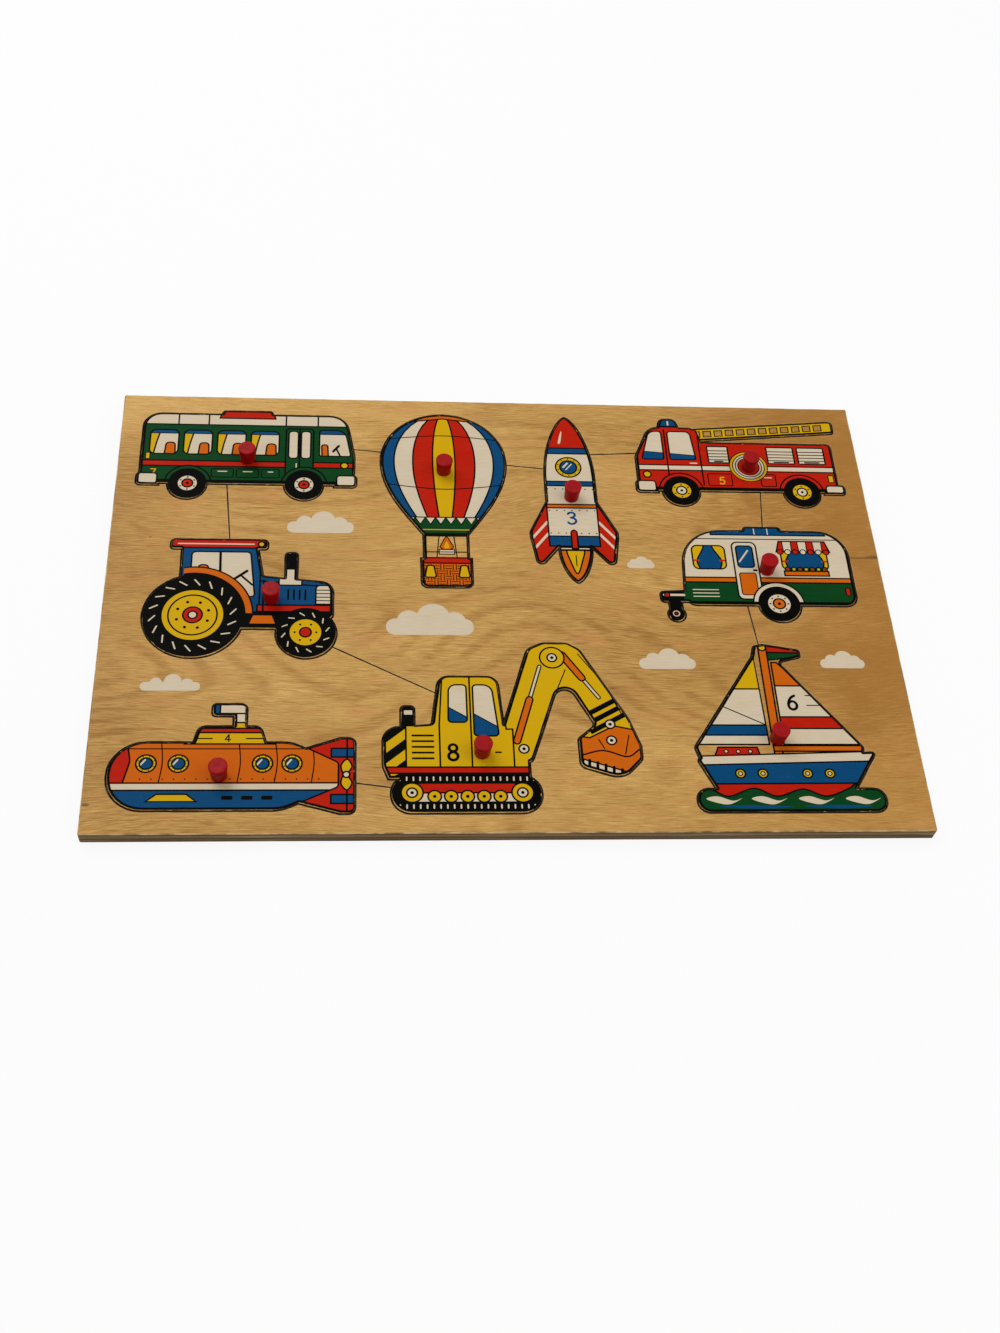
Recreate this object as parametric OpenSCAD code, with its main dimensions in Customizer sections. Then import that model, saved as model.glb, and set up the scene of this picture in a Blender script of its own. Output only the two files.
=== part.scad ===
// A lift-out peg puzzle: a sawn plywood frame glued to a thin backing sheet, with nine shapes
// cut from the same plywood lying in their openings, each carried by a turned round peg.
// Units are millimetres. The origin is the middle of the underside, +X runs along the board,
// +Y away from the player and +Z up.

/* [Board] */
// Thickness of the frame sheet, and of the shapes sawn out of it
sheet_t = 5; // [3:0.5:8]
// Thickness of the backing sheet under the frame
backing_t = 3; // [2:0.5:6]
// Radius of the board's four upright corners
board_corner_r = 1; // [0.5:0.5:8]
// Bare wood left between the outermost shapes and the board's edge
margin = 11; // [6:1:24]
// Bare wood left between two columns of shapes
column_gap = 14; // [8:1:30]
// Least bare wood left between two shapes of a column
row_gap = 15; // [8:1:30]
// Bare wood left between two shapes that stand side by side in a column
side_gap = 12; // [8:1:24]

/* [Saw cuts] */
// Width of the saw cut round each shape, which is its clearance in the frame
kerf = 0.9; // [0.5:0.1:1.5]
// Width of the thin saw cuts that lead from one opening to the next
link_w = 0.7; // [0.4:0.1:1.2]

/* [Pegs] */
// Diameter of a peg at its top
peg_d = 9.5; // [8:0.5:14]
// Diameter of a peg at its foot, where it stands on the shape
peg_foot_d = 8; // [7.5:0.5:14]
// Height of a peg above the shape
peg_h = 10; // [6:0.5:16]
// Radius that eases a peg's top edge
peg_rim_r = 0.8; // [0.3:0.1:1.5]
// Diameter of the stem that is glued into the shape
stem_d = 6; // [4:0.5:7]
// Radial room for glue between a stem and its hole
stem_clearance = 0.05; // [0.02:0.01:0.1]
// How far a stem's end stays short of the shape's underside
stem_short = 0.2; // [0.1:0.1:0.6]

/* [Bus] */
// Length of the bus
bus_w = 120; // [100:1:140]
// Height of the bus from its tyres to its roof hatch
bus_h = 64; // [54:1:76]
// Radius of the bus tyres
bus_wheel_r = 10.5; // [9:0.5:12]

/* [Tractor] */
// Length of the tractor
tractor_w = 100; // [86:1:120]
// Height of the tractor to its cab roof
tractor_h = 76; // [64:1:90]
// Radius of the tractor's rear tyre
tractor_rear_r = 26; // [22:0.5:30]
// Radius of the tractor's front tyre
tractor_front_r = 15.5; // [13:0.5:18]

/* [Submarine] */
// Length of the submarine
submarine_w = 120; // [100:1:140]
// Height of the submarine to the top of its periscope
submarine_h = 62; // [52:1:74]

/* [Balloon] */
// Width of the hot-air balloon
balloon_w = 70; // [60:1:84]
// Height of the hot-air balloon with its basket
balloon_h = 122; // [110:1:140]
// Width of the balloon's mouth and of the ropes under it
balloon_mouth_w = 24; // [20:1:30]
// Width of the balloon's basket
basket_w = 27; // [22:1:32]
// Height of the balloon's basket
basket_h = 19; // [15:1:24]

/* [Rocket] */
// Width of the rocket over its fins
rocket_w = 48; // [42:1:58]
// Height of the rocket with its flame
rocket_h = 118; // [104:1:136]
// Width of the rocket's body
rocket_body_w = 28; // [24:1:32]
// Width of the rocket's flame
rocket_flame_w = 18; // [15:1:22]
// Height of the rocket's flame
rocket_flame_h = 24; // [18:1:28]

/* [Digger] */
// Length of the digger with its arm
digger_w = 130; // [112:1:150]
// Height of the digger with its arm
digger_h = 100; // [86:1:116]

/* [Fire engine] */
// Length of the fire engine
fire_engine_w = 120; // [100:1:140]
// Height of the fire engine to its ladder's end
fire_engine_h = 64; // [54:1:76]
// Radius of the fire engine's tyres
fire_engine_wheel_r = 10.5; // [9:0.5:12]

/* [Caravan] */
// Length of the caravan with its drawbar
caravan_w = 108; // [92:1:126]
// Height of the caravan to its roof hatch
caravan_h = 64; // [54:1:76]
// Radius of the caravan's tyre
caravan_wheel_r = 11.5; // [9.5:0.5:13]
// Radius of the small wheel under the caravan's drawbar
jockey_wheel_r = 4.5; // [3.5:0.5:5.5]

/* [Sailing boat] */
// Length of the sailing boat and the water under it
sailboat_w = 96; // [82:1:112]
// Height of the sailing boat to its pennant
sailboat_h = 100; // [86:1:116]

/* [Hidden] */

// How far a cut runs past the faces it goes through
overrun = 1;
// Facets of a full circle as it is previewed
$fn = 64;
// Widest turn of one straight stretch of a rounded corner or a curve, in degrees
arc_step = 12;

// Outlines as shares of a shape's width and height, with each corner's radius as a share of
// its height. They run anticlockwise, and a radius of 0 leaves the corner sharp.
bus_body_shares = [[0.012, 0.17, 0.05], [0.988, 0.17, 0.05], [0.992, 0.5, 0.2],
                   [0.95, 0.96, 0.17], [0.012, 0.96, 0.15]];
bus_bumper_shares = [[[0, 0.15, 0.035], [0.1, 0.15, 0], [0.1, 0.28, 0], [0, 0.28, 0.035]],
                     [[0.9, 0.15, 0], [1, 0.15, 0.035], [1, 0.28, 0.035], [0.9, 0.28, 0]]];
bus_hatch_shares = [[0.36, 0.9, 0], [0.62, 0.9, 0], [0.6, 1, 0.02], [0.38, 1, 0.02]];
bus_wheel_shares = [0.23, 0.76];
bus_peg_share = [0.5, 0.45];

tractor_body_shares = [[0.22, 0.24, 0], [0.84, 0.24, 0], [0.98, 0.34, 0.03],
                       [0.98, 0.63, 0.09], [0.61, 0.68, 0.03], [0.58, 0.92, 0],
                       [0.63, 0.92, 0.02], [0.63, 1, 0.03], [0.12, 1, 0.03],
                       [0.12, 0.92, 0.02], [0.18, 0.92, 0], [0.18, 0.4, 0]];
tractor_exhaust_shares = [[0.73, 0.6, 0], [0.79, 0.6, 0], [0.79, 0.89, 0.02],
                          [0.73, 0.89, 0.02]];
tractor_peg_share = [0.66, 0.49];

submarine_hull_shares = [[0, 0.03, 0.29], [0.7, 0.03, 0.3], [0.93, 0.23, 0.04],
                         [0.93, 0.45, 0.04], [0.74, 0.64, 0.3], [0, 0.64, 0.29]];
submarine_tail_shares = [[0.76, 0.1, 0], [0.94, 0, 0.03], [1, 0, 0.05], [1, 0.68, 0.05],
                         [0.94, 0.68, 0.03], [0.76, 0.56, 0]];
submarine_tower_shares = [[0.33, 0.58, 0], [0.64, 0.58, 0], [0.61, 0.79, 0.07],
                          [0.36, 0.79, 0.07]];
submarine_periscope_shares = [[0.5, 0.75, 0], [0.55, 0.75, 0], [0.55, 1, 0.05],
                              [0.41, 1, 0.03], [0.41, 0.89, 0.03], [0.5, 0.89, 0.01]];
submarine_peg_share = [0.45, 0.34];

// Heights of the balloon's mouth and of its widest place
balloon_mouth_share = 0.29;
balloon_waist_share = 0.71;
balloon_peg_share = [0.5, 0.66];

rocket_fin_shares = [[0.93, 0.08, 0.02], [1, 0.26, 0.03], [1, 0.29, 0.03]];
// Heights at which the rocket's fins leave its body and its nose starts to curve in
rocket_fin_top_share = 0.47;
rocket_shoulder_share = 0.6;
// Power of the cosine that the nose and the flame narrow by: 1 is an ellipse, more is sharper
rocket_sharpness = 1.4;
rocket_peg_share = [0.5, 0.5];

digger_track_shares = [[0.03, 0, 0.1], [0.6, 0, 0.1], [0.6, 0.21, 0.1], [0.03, 0.21, 0.1]];
digger_house_shares = [[0.02, 0.19, 0], [0.56, 0.19, 0], [0.56, 0.46, 0.02],
                       [0.47, 0.46, 0], [0.45, 0.79, 0.06], [0.22, 0.79, 0.06],
                       [0.19, 0.5, 0.02], [0, 0.48, 0.08], [0, 0.26, 0.04]];
digger_exhaust_shares = [[0.07, 0.4, 0], [0.12, 0.4, 0], [0.12, 0.61, 0.02],
                         [0.07, 0.61, 0.02]];
digger_arm_shares = [[0.42, 0.3, 0], [0.57, 0.28, 0.04], [0.71, 0.81, 0.06],
                     [0.83, 0.5, 0.03], [0.76, 0.42, 0.02], [0.76, 0.26, 0.04],
                     [0.92, 0.19, 0.1], [1, 0.3, 0.04], [1, 0.38, 0.04],
                     [0.96, 0.54, 0.05], [0.79, 0.96, 0.06], [0.74, 1, 0.05],
                     [0.64, 1, 0.05], [0.58, 0.96, 0.06]];
digger_peg_share = [0.38, 0.34];

fire_engine_body_shares = [[0.012, 0.17, 0.05], [0.97, 0.17, 0.05], [0.97, 0.73, 0.04],
                           [0.34, 0.73, 0], [0.31, 0.9, 0.08], [0.09, 0.9, 0.13],
                           [0.012, 0.56, 0.12]];
fire_engine_bumper_shares = [[[0, 0.15, 0.035], [0.1, 0.15, 0], [0.1, 0.28, 0],
                              [0, 0.28, 0.035]],
                             [[0.9, 0.15, 0], [1, 0.15, 0.035], [1, 0.25, 0.035],
                              [0.9, 0.25, 0]]];
fire_engine_ladder_shares = [[0.27, 0.74, 0], [1, 0.87, 0.03], [1, 1, 0.03], [0.97, 1, 0.03],
                             [0.27, 0.88, 0]];
fire_engine_beacon_shares = [[0.13, 0.86, 0], [0.24, 0.86, 0], [0.22, 1, 0.05],
                             [0.15, 1, 0.05]];
fire_engine_wheel_shares = [0.21, 0.79];
fire_engine_peg_share = [0.55, 0.45];

caravan_body_shares = [[0.12, 0.17, 0.1], [1, 0.17, 0.1], [1, 0.96, 0.26],
                       [0.15, 0.96, 0.36]];
caravan_hatch_shares = [[0.46, 0.9, 0], [0.68, 0.9, 0], [0.66, 1, 0.02], [0.48, 1, 0.02]];
caravan_drawbar_shares = [[0, 0.2, 0.03], [0.2, 0.2, 0], [0.2, 0.32, 0], [0, 0.3, 0.03]];
caravan_stay_shares = [[0.04, 0.07, 0], [0.1, 0.07, 0], [0.1, 0.26, 0], [0.04, 0.26, 0]];
caravan_stay_share = 0.07;
caravan_wheel_share = 0.6;
caravan_peg_share = [0.56, 0.54];

sailboat_water_shares = [[0, 0, 0.06], [1, 0, 0.06], [1, 0.13, 0.06], [0, 0.13, 0.06]];
sailboat_hull_shares = [[0.12, 0.1, 0], [0.83, 0.1, 0], [0.99, 0.34, 0.01],
                        [0.02, 0.31, 0.02]];
sailboat_sail_shares = [[0.05, 0.27, 0], [0.9, 0.27, 0], [0.93, 0.37, 0.02],
                        [0.54, 0.89, 0.02], [0.67, 0.925, 0.015], [0.67, 0.965, 0.015],
                        [0.47, 1, 0.015], [0.42, 0.99, 0.015], [0.4, 0.92, 0.02],
                        [0.02, 0.37, 0.03]];
sailboat_peg_share = [0.47, 0.42];

// Sizes of the nine shapes
bus_size = [bus_w, bus_h];
tractor_size = [tractor_w, tractor_h];
submarine_size = [submarine_w, submarine_h];
balloon_size = [balloon_w, balloon_h];
rocket_size = [rocket_w, rocket_h];
digger_size = [digger_w, digger_h];
fire_engine_size = [fire_engine_w, fire_engine_h];
caravan_size = [caravan_w, caravan_h];
sailboat_size = [sailboat_w, sailboat_h];

// The three columns take the width of their widest row, and the fullest one sets the depth
left_column_w = max(bus_w, tractor_w, submarine_w);
pair_w = balloon_w + side_gap + rocket_w;
pair_h = max(balloon_h, rocket_h);
middle_column_w = max(pair_w, digger_w);
right_column_w = max(fire_engine_w, caravan_w, sailboat_w);
left_stack_h = bus_h + tractor_h + submarine_h;
middle_stack_h = pair_h + digger_h;
right_stack_h = fire_engine_h + caravan_h + sailboat_h;
inner_d = max(left_stack_h + 2 * row_gap, middle_stack_h + row_gap,
              right_stack_h + 2 * row_gap);
board_w = 2 * margin + 2 * column_gap + left_column_w + middle_column_w + right_column_w;
board_d = 2 * margin + inner_d;

// Middles of the columns, and the gaps that spread each column over the board's depth
left_column_x = margin + left_column_w / 2 - board_w / 2;
middle_column_x = margin + left_column_w + column_gap + middle_column_w / 2 - board_w / 2;
right_column_x = board_w / 2 - margin - right_column_w / 2;
left_gap = (inner_d - left_stack_h) / 2;
right_gap = (inner_d - right_stack_h) / 2;
far_y = inner_d / 2;

// Lower left corner of each shape's box on the board
bus_at = [left_column_x - bus_w / 2, far_y - bus_h];
tractor_at = [left_column_x - tractor_w / 2, bus_at.y - left_gap - tractor_h];
submarine_at = [left_column_x - submarine_w / 2, -far_y];
balloon_at = [middle_column_x - pair_w / 2, far_y - balloon_h];
rocket_at = [middle_column_x + pair_w / 2 - rocket_w, far_y - rocket_h];
digger_at = [middle_column_x - digger_w / 2, -far_y];
fire_engine_at = [right_column_x - fire_engine_w / 2, far_y - fire_engine_h];
caravan_at = [right_column_x - caravan_w / 2, fire_engine_at.y - right_gap - caravan_h];
sailboat_at = [right_column_x - sailboat_w / 2, -far_y];

// The thin cuts between openings: a shape's corner, its size and a place in it as shares,
// and the same for the shape that the cut leads to
links = [[bus_at, bus_size, [0.8, 0.62], balloon_at, balloon_size, [0.3, 0.75]],
         [balloon_at, balloon_size, [0.7, 0.72], rocket_at, rocket_size, [0.5, 0.66]],
         [rocket_at, rocket_size, [0.5, 0.76], fire_engine_at, fire_engine_size, [0.2, 0.62]],
         [bus_at, bus_size, [0.4, 0.4], tractor_at, tractor_size, [0.44, 0.8]],
         [tractor_at, tractor_size, [0.83, 0.2], digger_at, digger_size, [0.34, 0.6]],
         [submarine_at, submarine_size, [0.9, 0.3], digger_at, digger_size, [0.15, 0.12]],
         [fire_engine_at, fire_engine_size, [0.6, 0.4], caravan_at, caravan_size, [0.56, 0.7]],
         [caravan_at, caravan_size, [0.42, 0.4], sailboat_at, sailboat_size, [0.46, 0.9]]];

// Derived sizes of the pegs
peg_r = peg_d / 2;
peg_foot_r = peg_foot_d / 2;
stem_r = stem_d / 2;
stem_l = sheet_t - stem_short;

function unit(v) = v / norm(v);
function left_of(v) = [-v.y, v.x];
function turned(v, angle) = [v.x * cos(angle) - v.y * sin(angle),
                             v.x * sin(angle) + v.y * cos(angle)];
function scaled(shares, size) = [for (s = shares) [s.x * size.x, s.y * size.y, s[2] * size.y]];
function placed(share, size) = [share.x * size.x, share.y * size.y];

// Points that take one corner, moved outwards by grow, along an arc of its radius
function corner_points(before, corner, after, grow) =
    let (a = unit([corner.x - before.x, corner.y - before.y]),
         b = unit([after.x - corner.x, after.y - corner.y]),
         out = -(left_of(a) + left_of(b)) / (1 + a * b),
         angle = atan2(a.x * b.y - a.y * b.x, a * b),
         side = sign(angle),
         tip = [corner.x, corner.y] + grow * out,
         r = corner[2] == 0 ? 0 : max(0, corner[2] + side * grow))
    r == 0 ? [tip] :
    let (start = tip - a * r * tan(abs(angle) / 2),
         middle = start + side * r * left_of(a),
         steps = ceil(abs(angle) / arc_step))
    [for (i = [0 : steps]) middle + turned(start - middle, angle * i / steps)];

// Points of a closed outline whose corners are [x, y, radius], moved outwards by grow
function outline_points(corners, grow) =
    let (n = len(corners))
    [for (i = [0 : n - 1])
        each corner_points(corners[(i + n - 1) % n], corners[i], corners[(i + 1) % n], grow)];

// A closed outline from a table of shares
module share_outline(shares, size, grow) {
    polygon(outline_points(scaled(shares, size), grow));
}

// A tyre of the given radius that stands on the shape's lower edge
module tyre_outline(x, r, grow) {
    translate([x, r]) circle(r = r + grow);
}

module bus_outline(grow = 0) {
    share_outline(bus_body_shares, bus_size, grow);
    share_outline(bus_hatch_shares, bus_size, grow);
    for (shares = bus_bumper_shares) share_outline(shares, bus_size, grow);
    for (share = bus_wheel_shares) tyre_outline(share * bus_w, bus_wheel_r, grow);
}

module tractor_outline(grow = 0) {
    share_outline(tractor_body_shares, tractor_size, grow);
    share_outline(tractor_exhaust_shares, tractor_size, grow);
    tyre_outline(tractor_rear_r, tractor_rear_r, grow);
    tyre_outline(tractor_w - tractor_front_r, tractor_front_r, grow);
}

module submarine_outline(grow = 0) {
    share_outline(submarine_hull_shares, submarine_size, grow);
    share_outline(submarine_tail_shares, submarine_size, grow);
    share_outline(submarine_tower_shares, submarine_size, grow);
    share_outline(submarine_periscope_shares, submarine_size, grow);
}

// Half the balloon's width at a share of the way down from its waist to its mouth
function balloon_half(share) = balloon_mouth_w / 2 + (balloon_w - balloon_mouth_w) / 2 * cos(90 * share);

// One side of the balloon below its waist, from the waist down, for side = -1 or 1
function balloon_side(side) =
    let (waist_y = balloon_waist_share * balloon_h, mouth_y = balloon_mouth_share * balloon_h)
    [for (a = [arc_step / 2 : arc_step / 2 : 90])
        [balloon_w / 2 + side * balloon_half(a / 90), waist_y + (mouth_y - waist_y) * a / 90, 0]];

module balloon_outline(grow = 0) {
    middle = balloon_w / 2;
    waist_y = balloon_waist_share * balloon_h;
    right = balloon_side(1);
    left = balloon_side(-1);
    basket = [[middle - balloon_mouth_w / 2, basket_h, 0], [middle - basket_w / 2, basket_h, 0],
              [middle - basket_w / 2, 0, basket_h / 6], [middle + basket_w / 2, 0, basket_h / 6],
              [middle + basket_w / 2, basket_h, 0], [middle + balloon_mouth_w / 2, basket_h, 0]];
    crown = [for (a = [0 : arc_step / 2 : 180])
        [middle + middle * cos(a), waist_y + (balloon_h - waist_y) * sin(a), 0]];
    polygon(outline_points(concat(basket, [for (i = [len(right) - 1 : -1 : 0]) right[i]],
                                  crown, left), grow));
}

// Corners of a table mirrored about the middle of a width w, in the order that keeps them
// anticlockwise
function mirrored(corners, w) =
    [for (i = [len(corners) - 1 : -1 : 0]) [w - corners[i].x, corners[i].y, corners[i][2]]];

// Right side of a point that narrows from the width w at base_y to nothing at tip_y, from its
// base up to one step short of its tip
function tapered_side(w, base_y, tip_y) =
    [for (a = [0 : arc_step / 2 : 90 - arc_step / 2])
        [(rocket_w + w * pow(cos(a), rocket_sharpness)) / 2, base_y + (tip_y - base_y) * sin(a), 0]];

module rocket_outline(grow = 0) {
    middle = rocket_w / 2;
    flame = tapered_side(rocket_flame_w, rocket_flame_h, 0);
    fin = scaled(rocket_fin_shares, rocket_size);
    fin_root = [middle + rocket_body_w / 2, rocket_fin_top_share * rocket_h, 0];
    nose = tapered_side(rocket_body_w, rocket_shoulder_share * rocket_h, rocket_h);
    right = concat([for (i = [len(flame) - 1 : -1 : 0]) flame[i]], fin, [fin_root], nose);
    polygon(outline_points(concat([[middle, 0, 0]], right, [[middle, rocket_h, 0]],
                                  mirrored(right, rocket_w)), grow));
}

module digger_outline(grow = 0) {
    share_outline(digger_track_shares, digger_size, grow);
    share_outline(digger_house_shares, digger_size, grow);
    share_outline(digger_exhaust_shares, digger_size, grow);
    share_outline(digger_arm_shares, digger_size, grow);
}

module fire_engine_outline(grow = 0) {
    share_outline(fire_engine_body_shares, fire_engine_size, grow);
    share_outline(fire_engine_ladder_shares, fire_engine_size, grow);
    share_outline(fire_engine_beacon_shares, fire_engine_size, grow);
    for (shares = fire_engine_bumper_shares) share_outline(shares, fire_engine_size, grow);
    for (share = fire_engine_wheel_shares)
        tyre_outline(share * fire_engine_w, fire_engine_wheel_r, grow);
}

module caravan_outline(grow = 0) {
    share_outline(caravan_body_shares, caravan_size, grow);
    share_outline(caravan_hatch_shares, caravan_size, grow);
    share_outline(caravan_drawbar_shares, caravan_size, grow);
    share_outline(caravan_stay_shares, caravan_size, grow);
    tyre_outline(caravan_stay_share * caravan_w, jockey_wheel_r, grow);
    tyre_outline(caravan_wheel_share * caravan_w, caravan_wheel_r, grow);
}

module sailboat_outline(grow = 0) {
    share_outline(sailboat_water_shares, sailboat_size, grow);
    share_outline(sailboat_hull_shares, sailboat_size, grow);
    share_outline(sailboat_sail_shares, sailboat_size, grow);
}

// The board seen from above
module board_outline() {
    corner = [board_w / 2, board_d / 2];
    polygon(outline_points([[-corner.x, -corner.y, board_corner_r],
                            [corner.x, -corner.y, board_corner_r],
                            [corner.x, corner.y, board_corner_r],
                            [-corner.x, corner.y, board_corner_r]], 0));
}

// A thin straight saw cut between two points
module link_cut(from, to) {
    way = to - from;
    translate(from) rotate(atan2(way.y, way.x))
        translate([0, -link_w / 2]) square([norm(way), link_w]);
}

// All the openings of the frame with the thin cuts that join them
module openings_outline() {
    translate(bus_at) bus_outline(kerf);
    translate(tractor_at) tractor_outline(kerf);
    translate(submarine_at) submarine_outline(kerf);
    translate(balloon_at) balloon_outline(kerf);
    translate(rocket_at) rocket_outline(kerf);
    translate(digger_at) digger_outline(kerf);
    translate(fire_engine_at) fire_engine_outline(kerf);
    translate(caravan_at) caravan_outline(kerf);
    translate(sailboat_at) sailboat_outline(kerf);
    for (l = links) link_cut(l[0] + placed(l[2], l[1]), l[3] + placed(l[5], l[4]));
}

module frame_board() {
    color("burlywood") translate([0, 0, backing_t])
        linear_extrude(sheet_t) difference() {
            board_outline();
            openings_outline();
        }
}

module backing_board() {
    color("tan") linear_extrude(backing_t) board_outline();
}

// A shape sawn from the sheet, lying on the backing, with the hole for its peg's stem
module sawn_shape(at, size, peg_share) {
    translate([at.x, at.y, backing_t]) difference() {
        linear_extrude(sheet_t) children();
        translate(placed(peg_share, size)) translate([0, 0, -overrun])
            cylinder(h = sheet_t + 2 * overrun, r = stem_r + stem_clearance);
    }
}

module bus_piece() {
    color("seagreen") sawn_shape(bus_at, bus_size, bus_peg_share) bus_outline();
}

module tractor_piece() {
    color("steelblue") sawn_shape(tractor_at, tractor_size, tractor_peg_share)
        tractor_outline();
}

module submarine_piece() {
    color("darkorange") sawn_shape(submarine_at, submarine_size, submarine_peg_share)
        submarine_outline();
}

module balloon_piece() {
    color("gold") sawn_shape(balloon_at, balloon_size, balloon_peg_share) balloon_outline();
}

module rocket_piece() {
    color("gainsboro") sawn_shape(rocket_at, rocket_size, rocket_peg_share) rocket_outline();
}

module digger_piece() {
    color("goldenrod") sawn_shape(digger_at, digger_size, digger_peg_share) digger_outline();
}

module fire_engine_piece() {
    color("firebrick") sawn_shape(fire_engine_at, fire_engine_size, fire_engine_peg_share)
        fire_engine_outline();
}

module caravan_piece() {
    color("linen") sawn_shape(caravan_at, caravan_size, caravan_peg_share) caravan_outline();
}

module sailboat_piece() {
    color("midnightblue") sawn_shape(sailboat_at, sailboat_size, sailboat_peg_share)
        sailboat_outline();
}

// A round peg that widens towards its eased top edge, standing on a shape and glued in by its
// stem
module peg(at, size, peg_share) {
    rim = [for (a = [0 : arc_step / 2 : 90])
        [peg_r - peg_rim_r * (1 - cos(a)), peg_h - peg_rim_r * (1 - sin(a))]];
    profile = concat([[0, -stem_l], [stem_r, -stem_l], [stem_r, 0], [peg_foot_r, 0]], rim,
                     [[0, peg_h]]);
    color("crimson") translate([at.x, at.y, backing_t + sheet_t])
        translate(placed(peg_share, size)) rotate_extrude() polygon(profile);
}

module bus_peg() { peg(bus_at, bus_size, bus_peg_share); }
module tractor_peg() { peg(tractor_at, tractor_size, tractor_peg_share); }
module submarine_peg() { peg(submarine_at, submarine_size, submarine_peg_share); }
module balloon_peg() { peg(balloon_at, balloon_size, balloon_peg_share); }
module rocket_peg() { peg(rocket_at, rocket_size, rocket_peg_share); }
module digger_peg() { peg(digger_at, digger_size, digger_peg_share); }
module fire_engine_peg() { peg(fire_engine_at, fire_engine_size, fire_engine_peg_share); }
module caravan_peg() { peg(caravan_at, caravan_size, caravan_peg_share); }
module sailboat_peg() { peg(sailboat_at, sailboat_size, sailboat_peg_share); }

frame_board();
backing_board();
bus_piece();
tractor_piece();
submarine_piece();
balloon_piece();
rocket_piece();
digger_piece();
fire_engine_piece();
caravan_piece();
sailboat_piece();
bus_peg();
tractor_peg();
submarine_peg();
balloon_peg();
rocket_peg();
digger_peg();
fire_engine_peg();
caravan_peg();
sailboat_peg();
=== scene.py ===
"""Looks of a lift-out peg puzzle, dressed around its packed construction.

The board and the nine shapes are plywood plates with eased edges. Each shape carries a picture in
flat inks, cut up so that every ink is a thin closed film of its own, and a turned, lacquered peg.
Lengths are millimetres until a mesh or a lamp is written, and a picture's places are thousandths
of the box that its shape fills.
"""

import logging
from contextlib import contextmanager
from dataclasses import dataclass, field, replace
from enum import Enum
from typing import Callable, Iterator, Sequence

import bmesh
import bpy
import numpy as np
from mathutils import Matrix, Vector
from mathutils.geometry import delaunay_2d_cdt


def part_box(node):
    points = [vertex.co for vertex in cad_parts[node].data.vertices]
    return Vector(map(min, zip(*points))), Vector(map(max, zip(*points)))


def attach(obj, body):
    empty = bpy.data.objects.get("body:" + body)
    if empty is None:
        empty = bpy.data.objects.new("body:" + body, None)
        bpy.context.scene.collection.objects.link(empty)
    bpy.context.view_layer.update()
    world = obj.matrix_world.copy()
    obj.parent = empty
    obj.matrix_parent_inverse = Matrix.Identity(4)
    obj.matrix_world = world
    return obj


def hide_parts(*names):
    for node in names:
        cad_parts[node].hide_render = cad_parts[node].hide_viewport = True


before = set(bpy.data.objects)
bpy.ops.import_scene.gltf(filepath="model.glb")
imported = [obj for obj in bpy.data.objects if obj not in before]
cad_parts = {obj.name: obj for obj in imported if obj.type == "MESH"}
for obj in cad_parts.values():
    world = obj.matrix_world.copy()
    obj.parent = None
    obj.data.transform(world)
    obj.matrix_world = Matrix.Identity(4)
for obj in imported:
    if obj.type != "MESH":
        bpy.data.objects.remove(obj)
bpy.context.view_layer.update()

Points = np.ndarray
Place = tuple[float, float]
Lengths = tuple[float, float, float]
Colour = tuple[float, float, float, float]
# A noise: its blobs' length along each axis, its finer layers and which part of it is taken
Pattern = tuple[Lengths, float, float]
# A text with spots in thousandths of a picture's box, or rows of places in millimetres
Figure = str | np.ndarray

LOG = logging.getLogger("peg puzzle")
MM = 0.001
TURN = 2 * np.pi
PARTS = 1000
# Widest turn of one straight stretch of a round edge
ARC_STEP = np.radians(12)
# The least that a mitre is divided by, so that no sharp corner runs far out
MITRE_FLOOR = 0.3
# Places closer than this are one place where outlines are cut up
CUT_GAP = 1e-5
# An edge is taken out of a loop if insetting would leave less than this share of it
EDGE_LEFT = 0.05
# How far a flat face may lie below the top, and the decimals that its points keep
TOP_SLACK = 0.01
DECIMALS = 4
# Points closer than this are welded, and edges that turn more than this stay sharp
WELD_GAP = 0.0004
SHARP_TURN = np.radians(40)
# How far a film's underside lies below the wood's face, so that no two faces lie together
SUNK = 0.02
# Pen widths of the pictures
LINE = 0.88
FINE = 0.6
NO_LINE = 0.0


def linear(red: int, green: int, blue: int) -> Colour:
    """Turns a colour as a screen shows it into the one that shaders take.

    Args:
        red: Its red, from 0 to 255.
        green: Its green.
        blue: Its blue.

    Returns:
        The colour from 0 to 1, with full cover.
    """
    shown = np.array([red, green, blue]) / 255
    light = np.where(shown <= 0.04045, shown / 12.92, ((shown + 0.055) / 1.055) ** 2.4)
    return (*light.tolist(), 1.0)


def unit(ways: Points) -> Points:
    """Scales every way to length 1."""
    return ways / np.maximum(np.linalg.norm(ways, axis=-1, keepdims=True), 1e-9)


def left_of(ways: Points) -> Points:
    """Turns every flat way a quarter turn anticlockwise."""
    return np.stack([-ways[..., 1], ways[..., 0]], axis=-1)


def crossed(first: Points, second: Points) -> np.ndarray:
    """The flat cross product of two sets of ways, positive where the second turns left."""
    return first[..., 0] * second[..., 1] - first[..., 1] * second[..., 0]


def area_of(loop: Points) -> float:
    """Signed area inside a loop, positive when it runs anticlockwise."""
    return float(crossed(loop, np.roll(loop, -1, axis=0)).sum() / 2)


def anticlockwise(loop: Points) -> Points:
    """The loop, turned round where it runs clockwise."""
    return loop if area_of(loop) > 0 else loop[::-1]


def spread(count: int, start: float = 0.0) -> Points:
    """Unit ways at equal steps round a full turn, from a start angle in degrees."""
    angles = np.radians(start) + TURN * np.arange(count) / count
    return np.stack([np.cos(angles), np.sin(angles)], axis=1)


def at_height(points: Points, height: np.ndarray | float) -> Points:
    """Flat points with a height added to each."""
    return np.column_stack([points, np.broadcast_to(height, len(points))])


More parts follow.
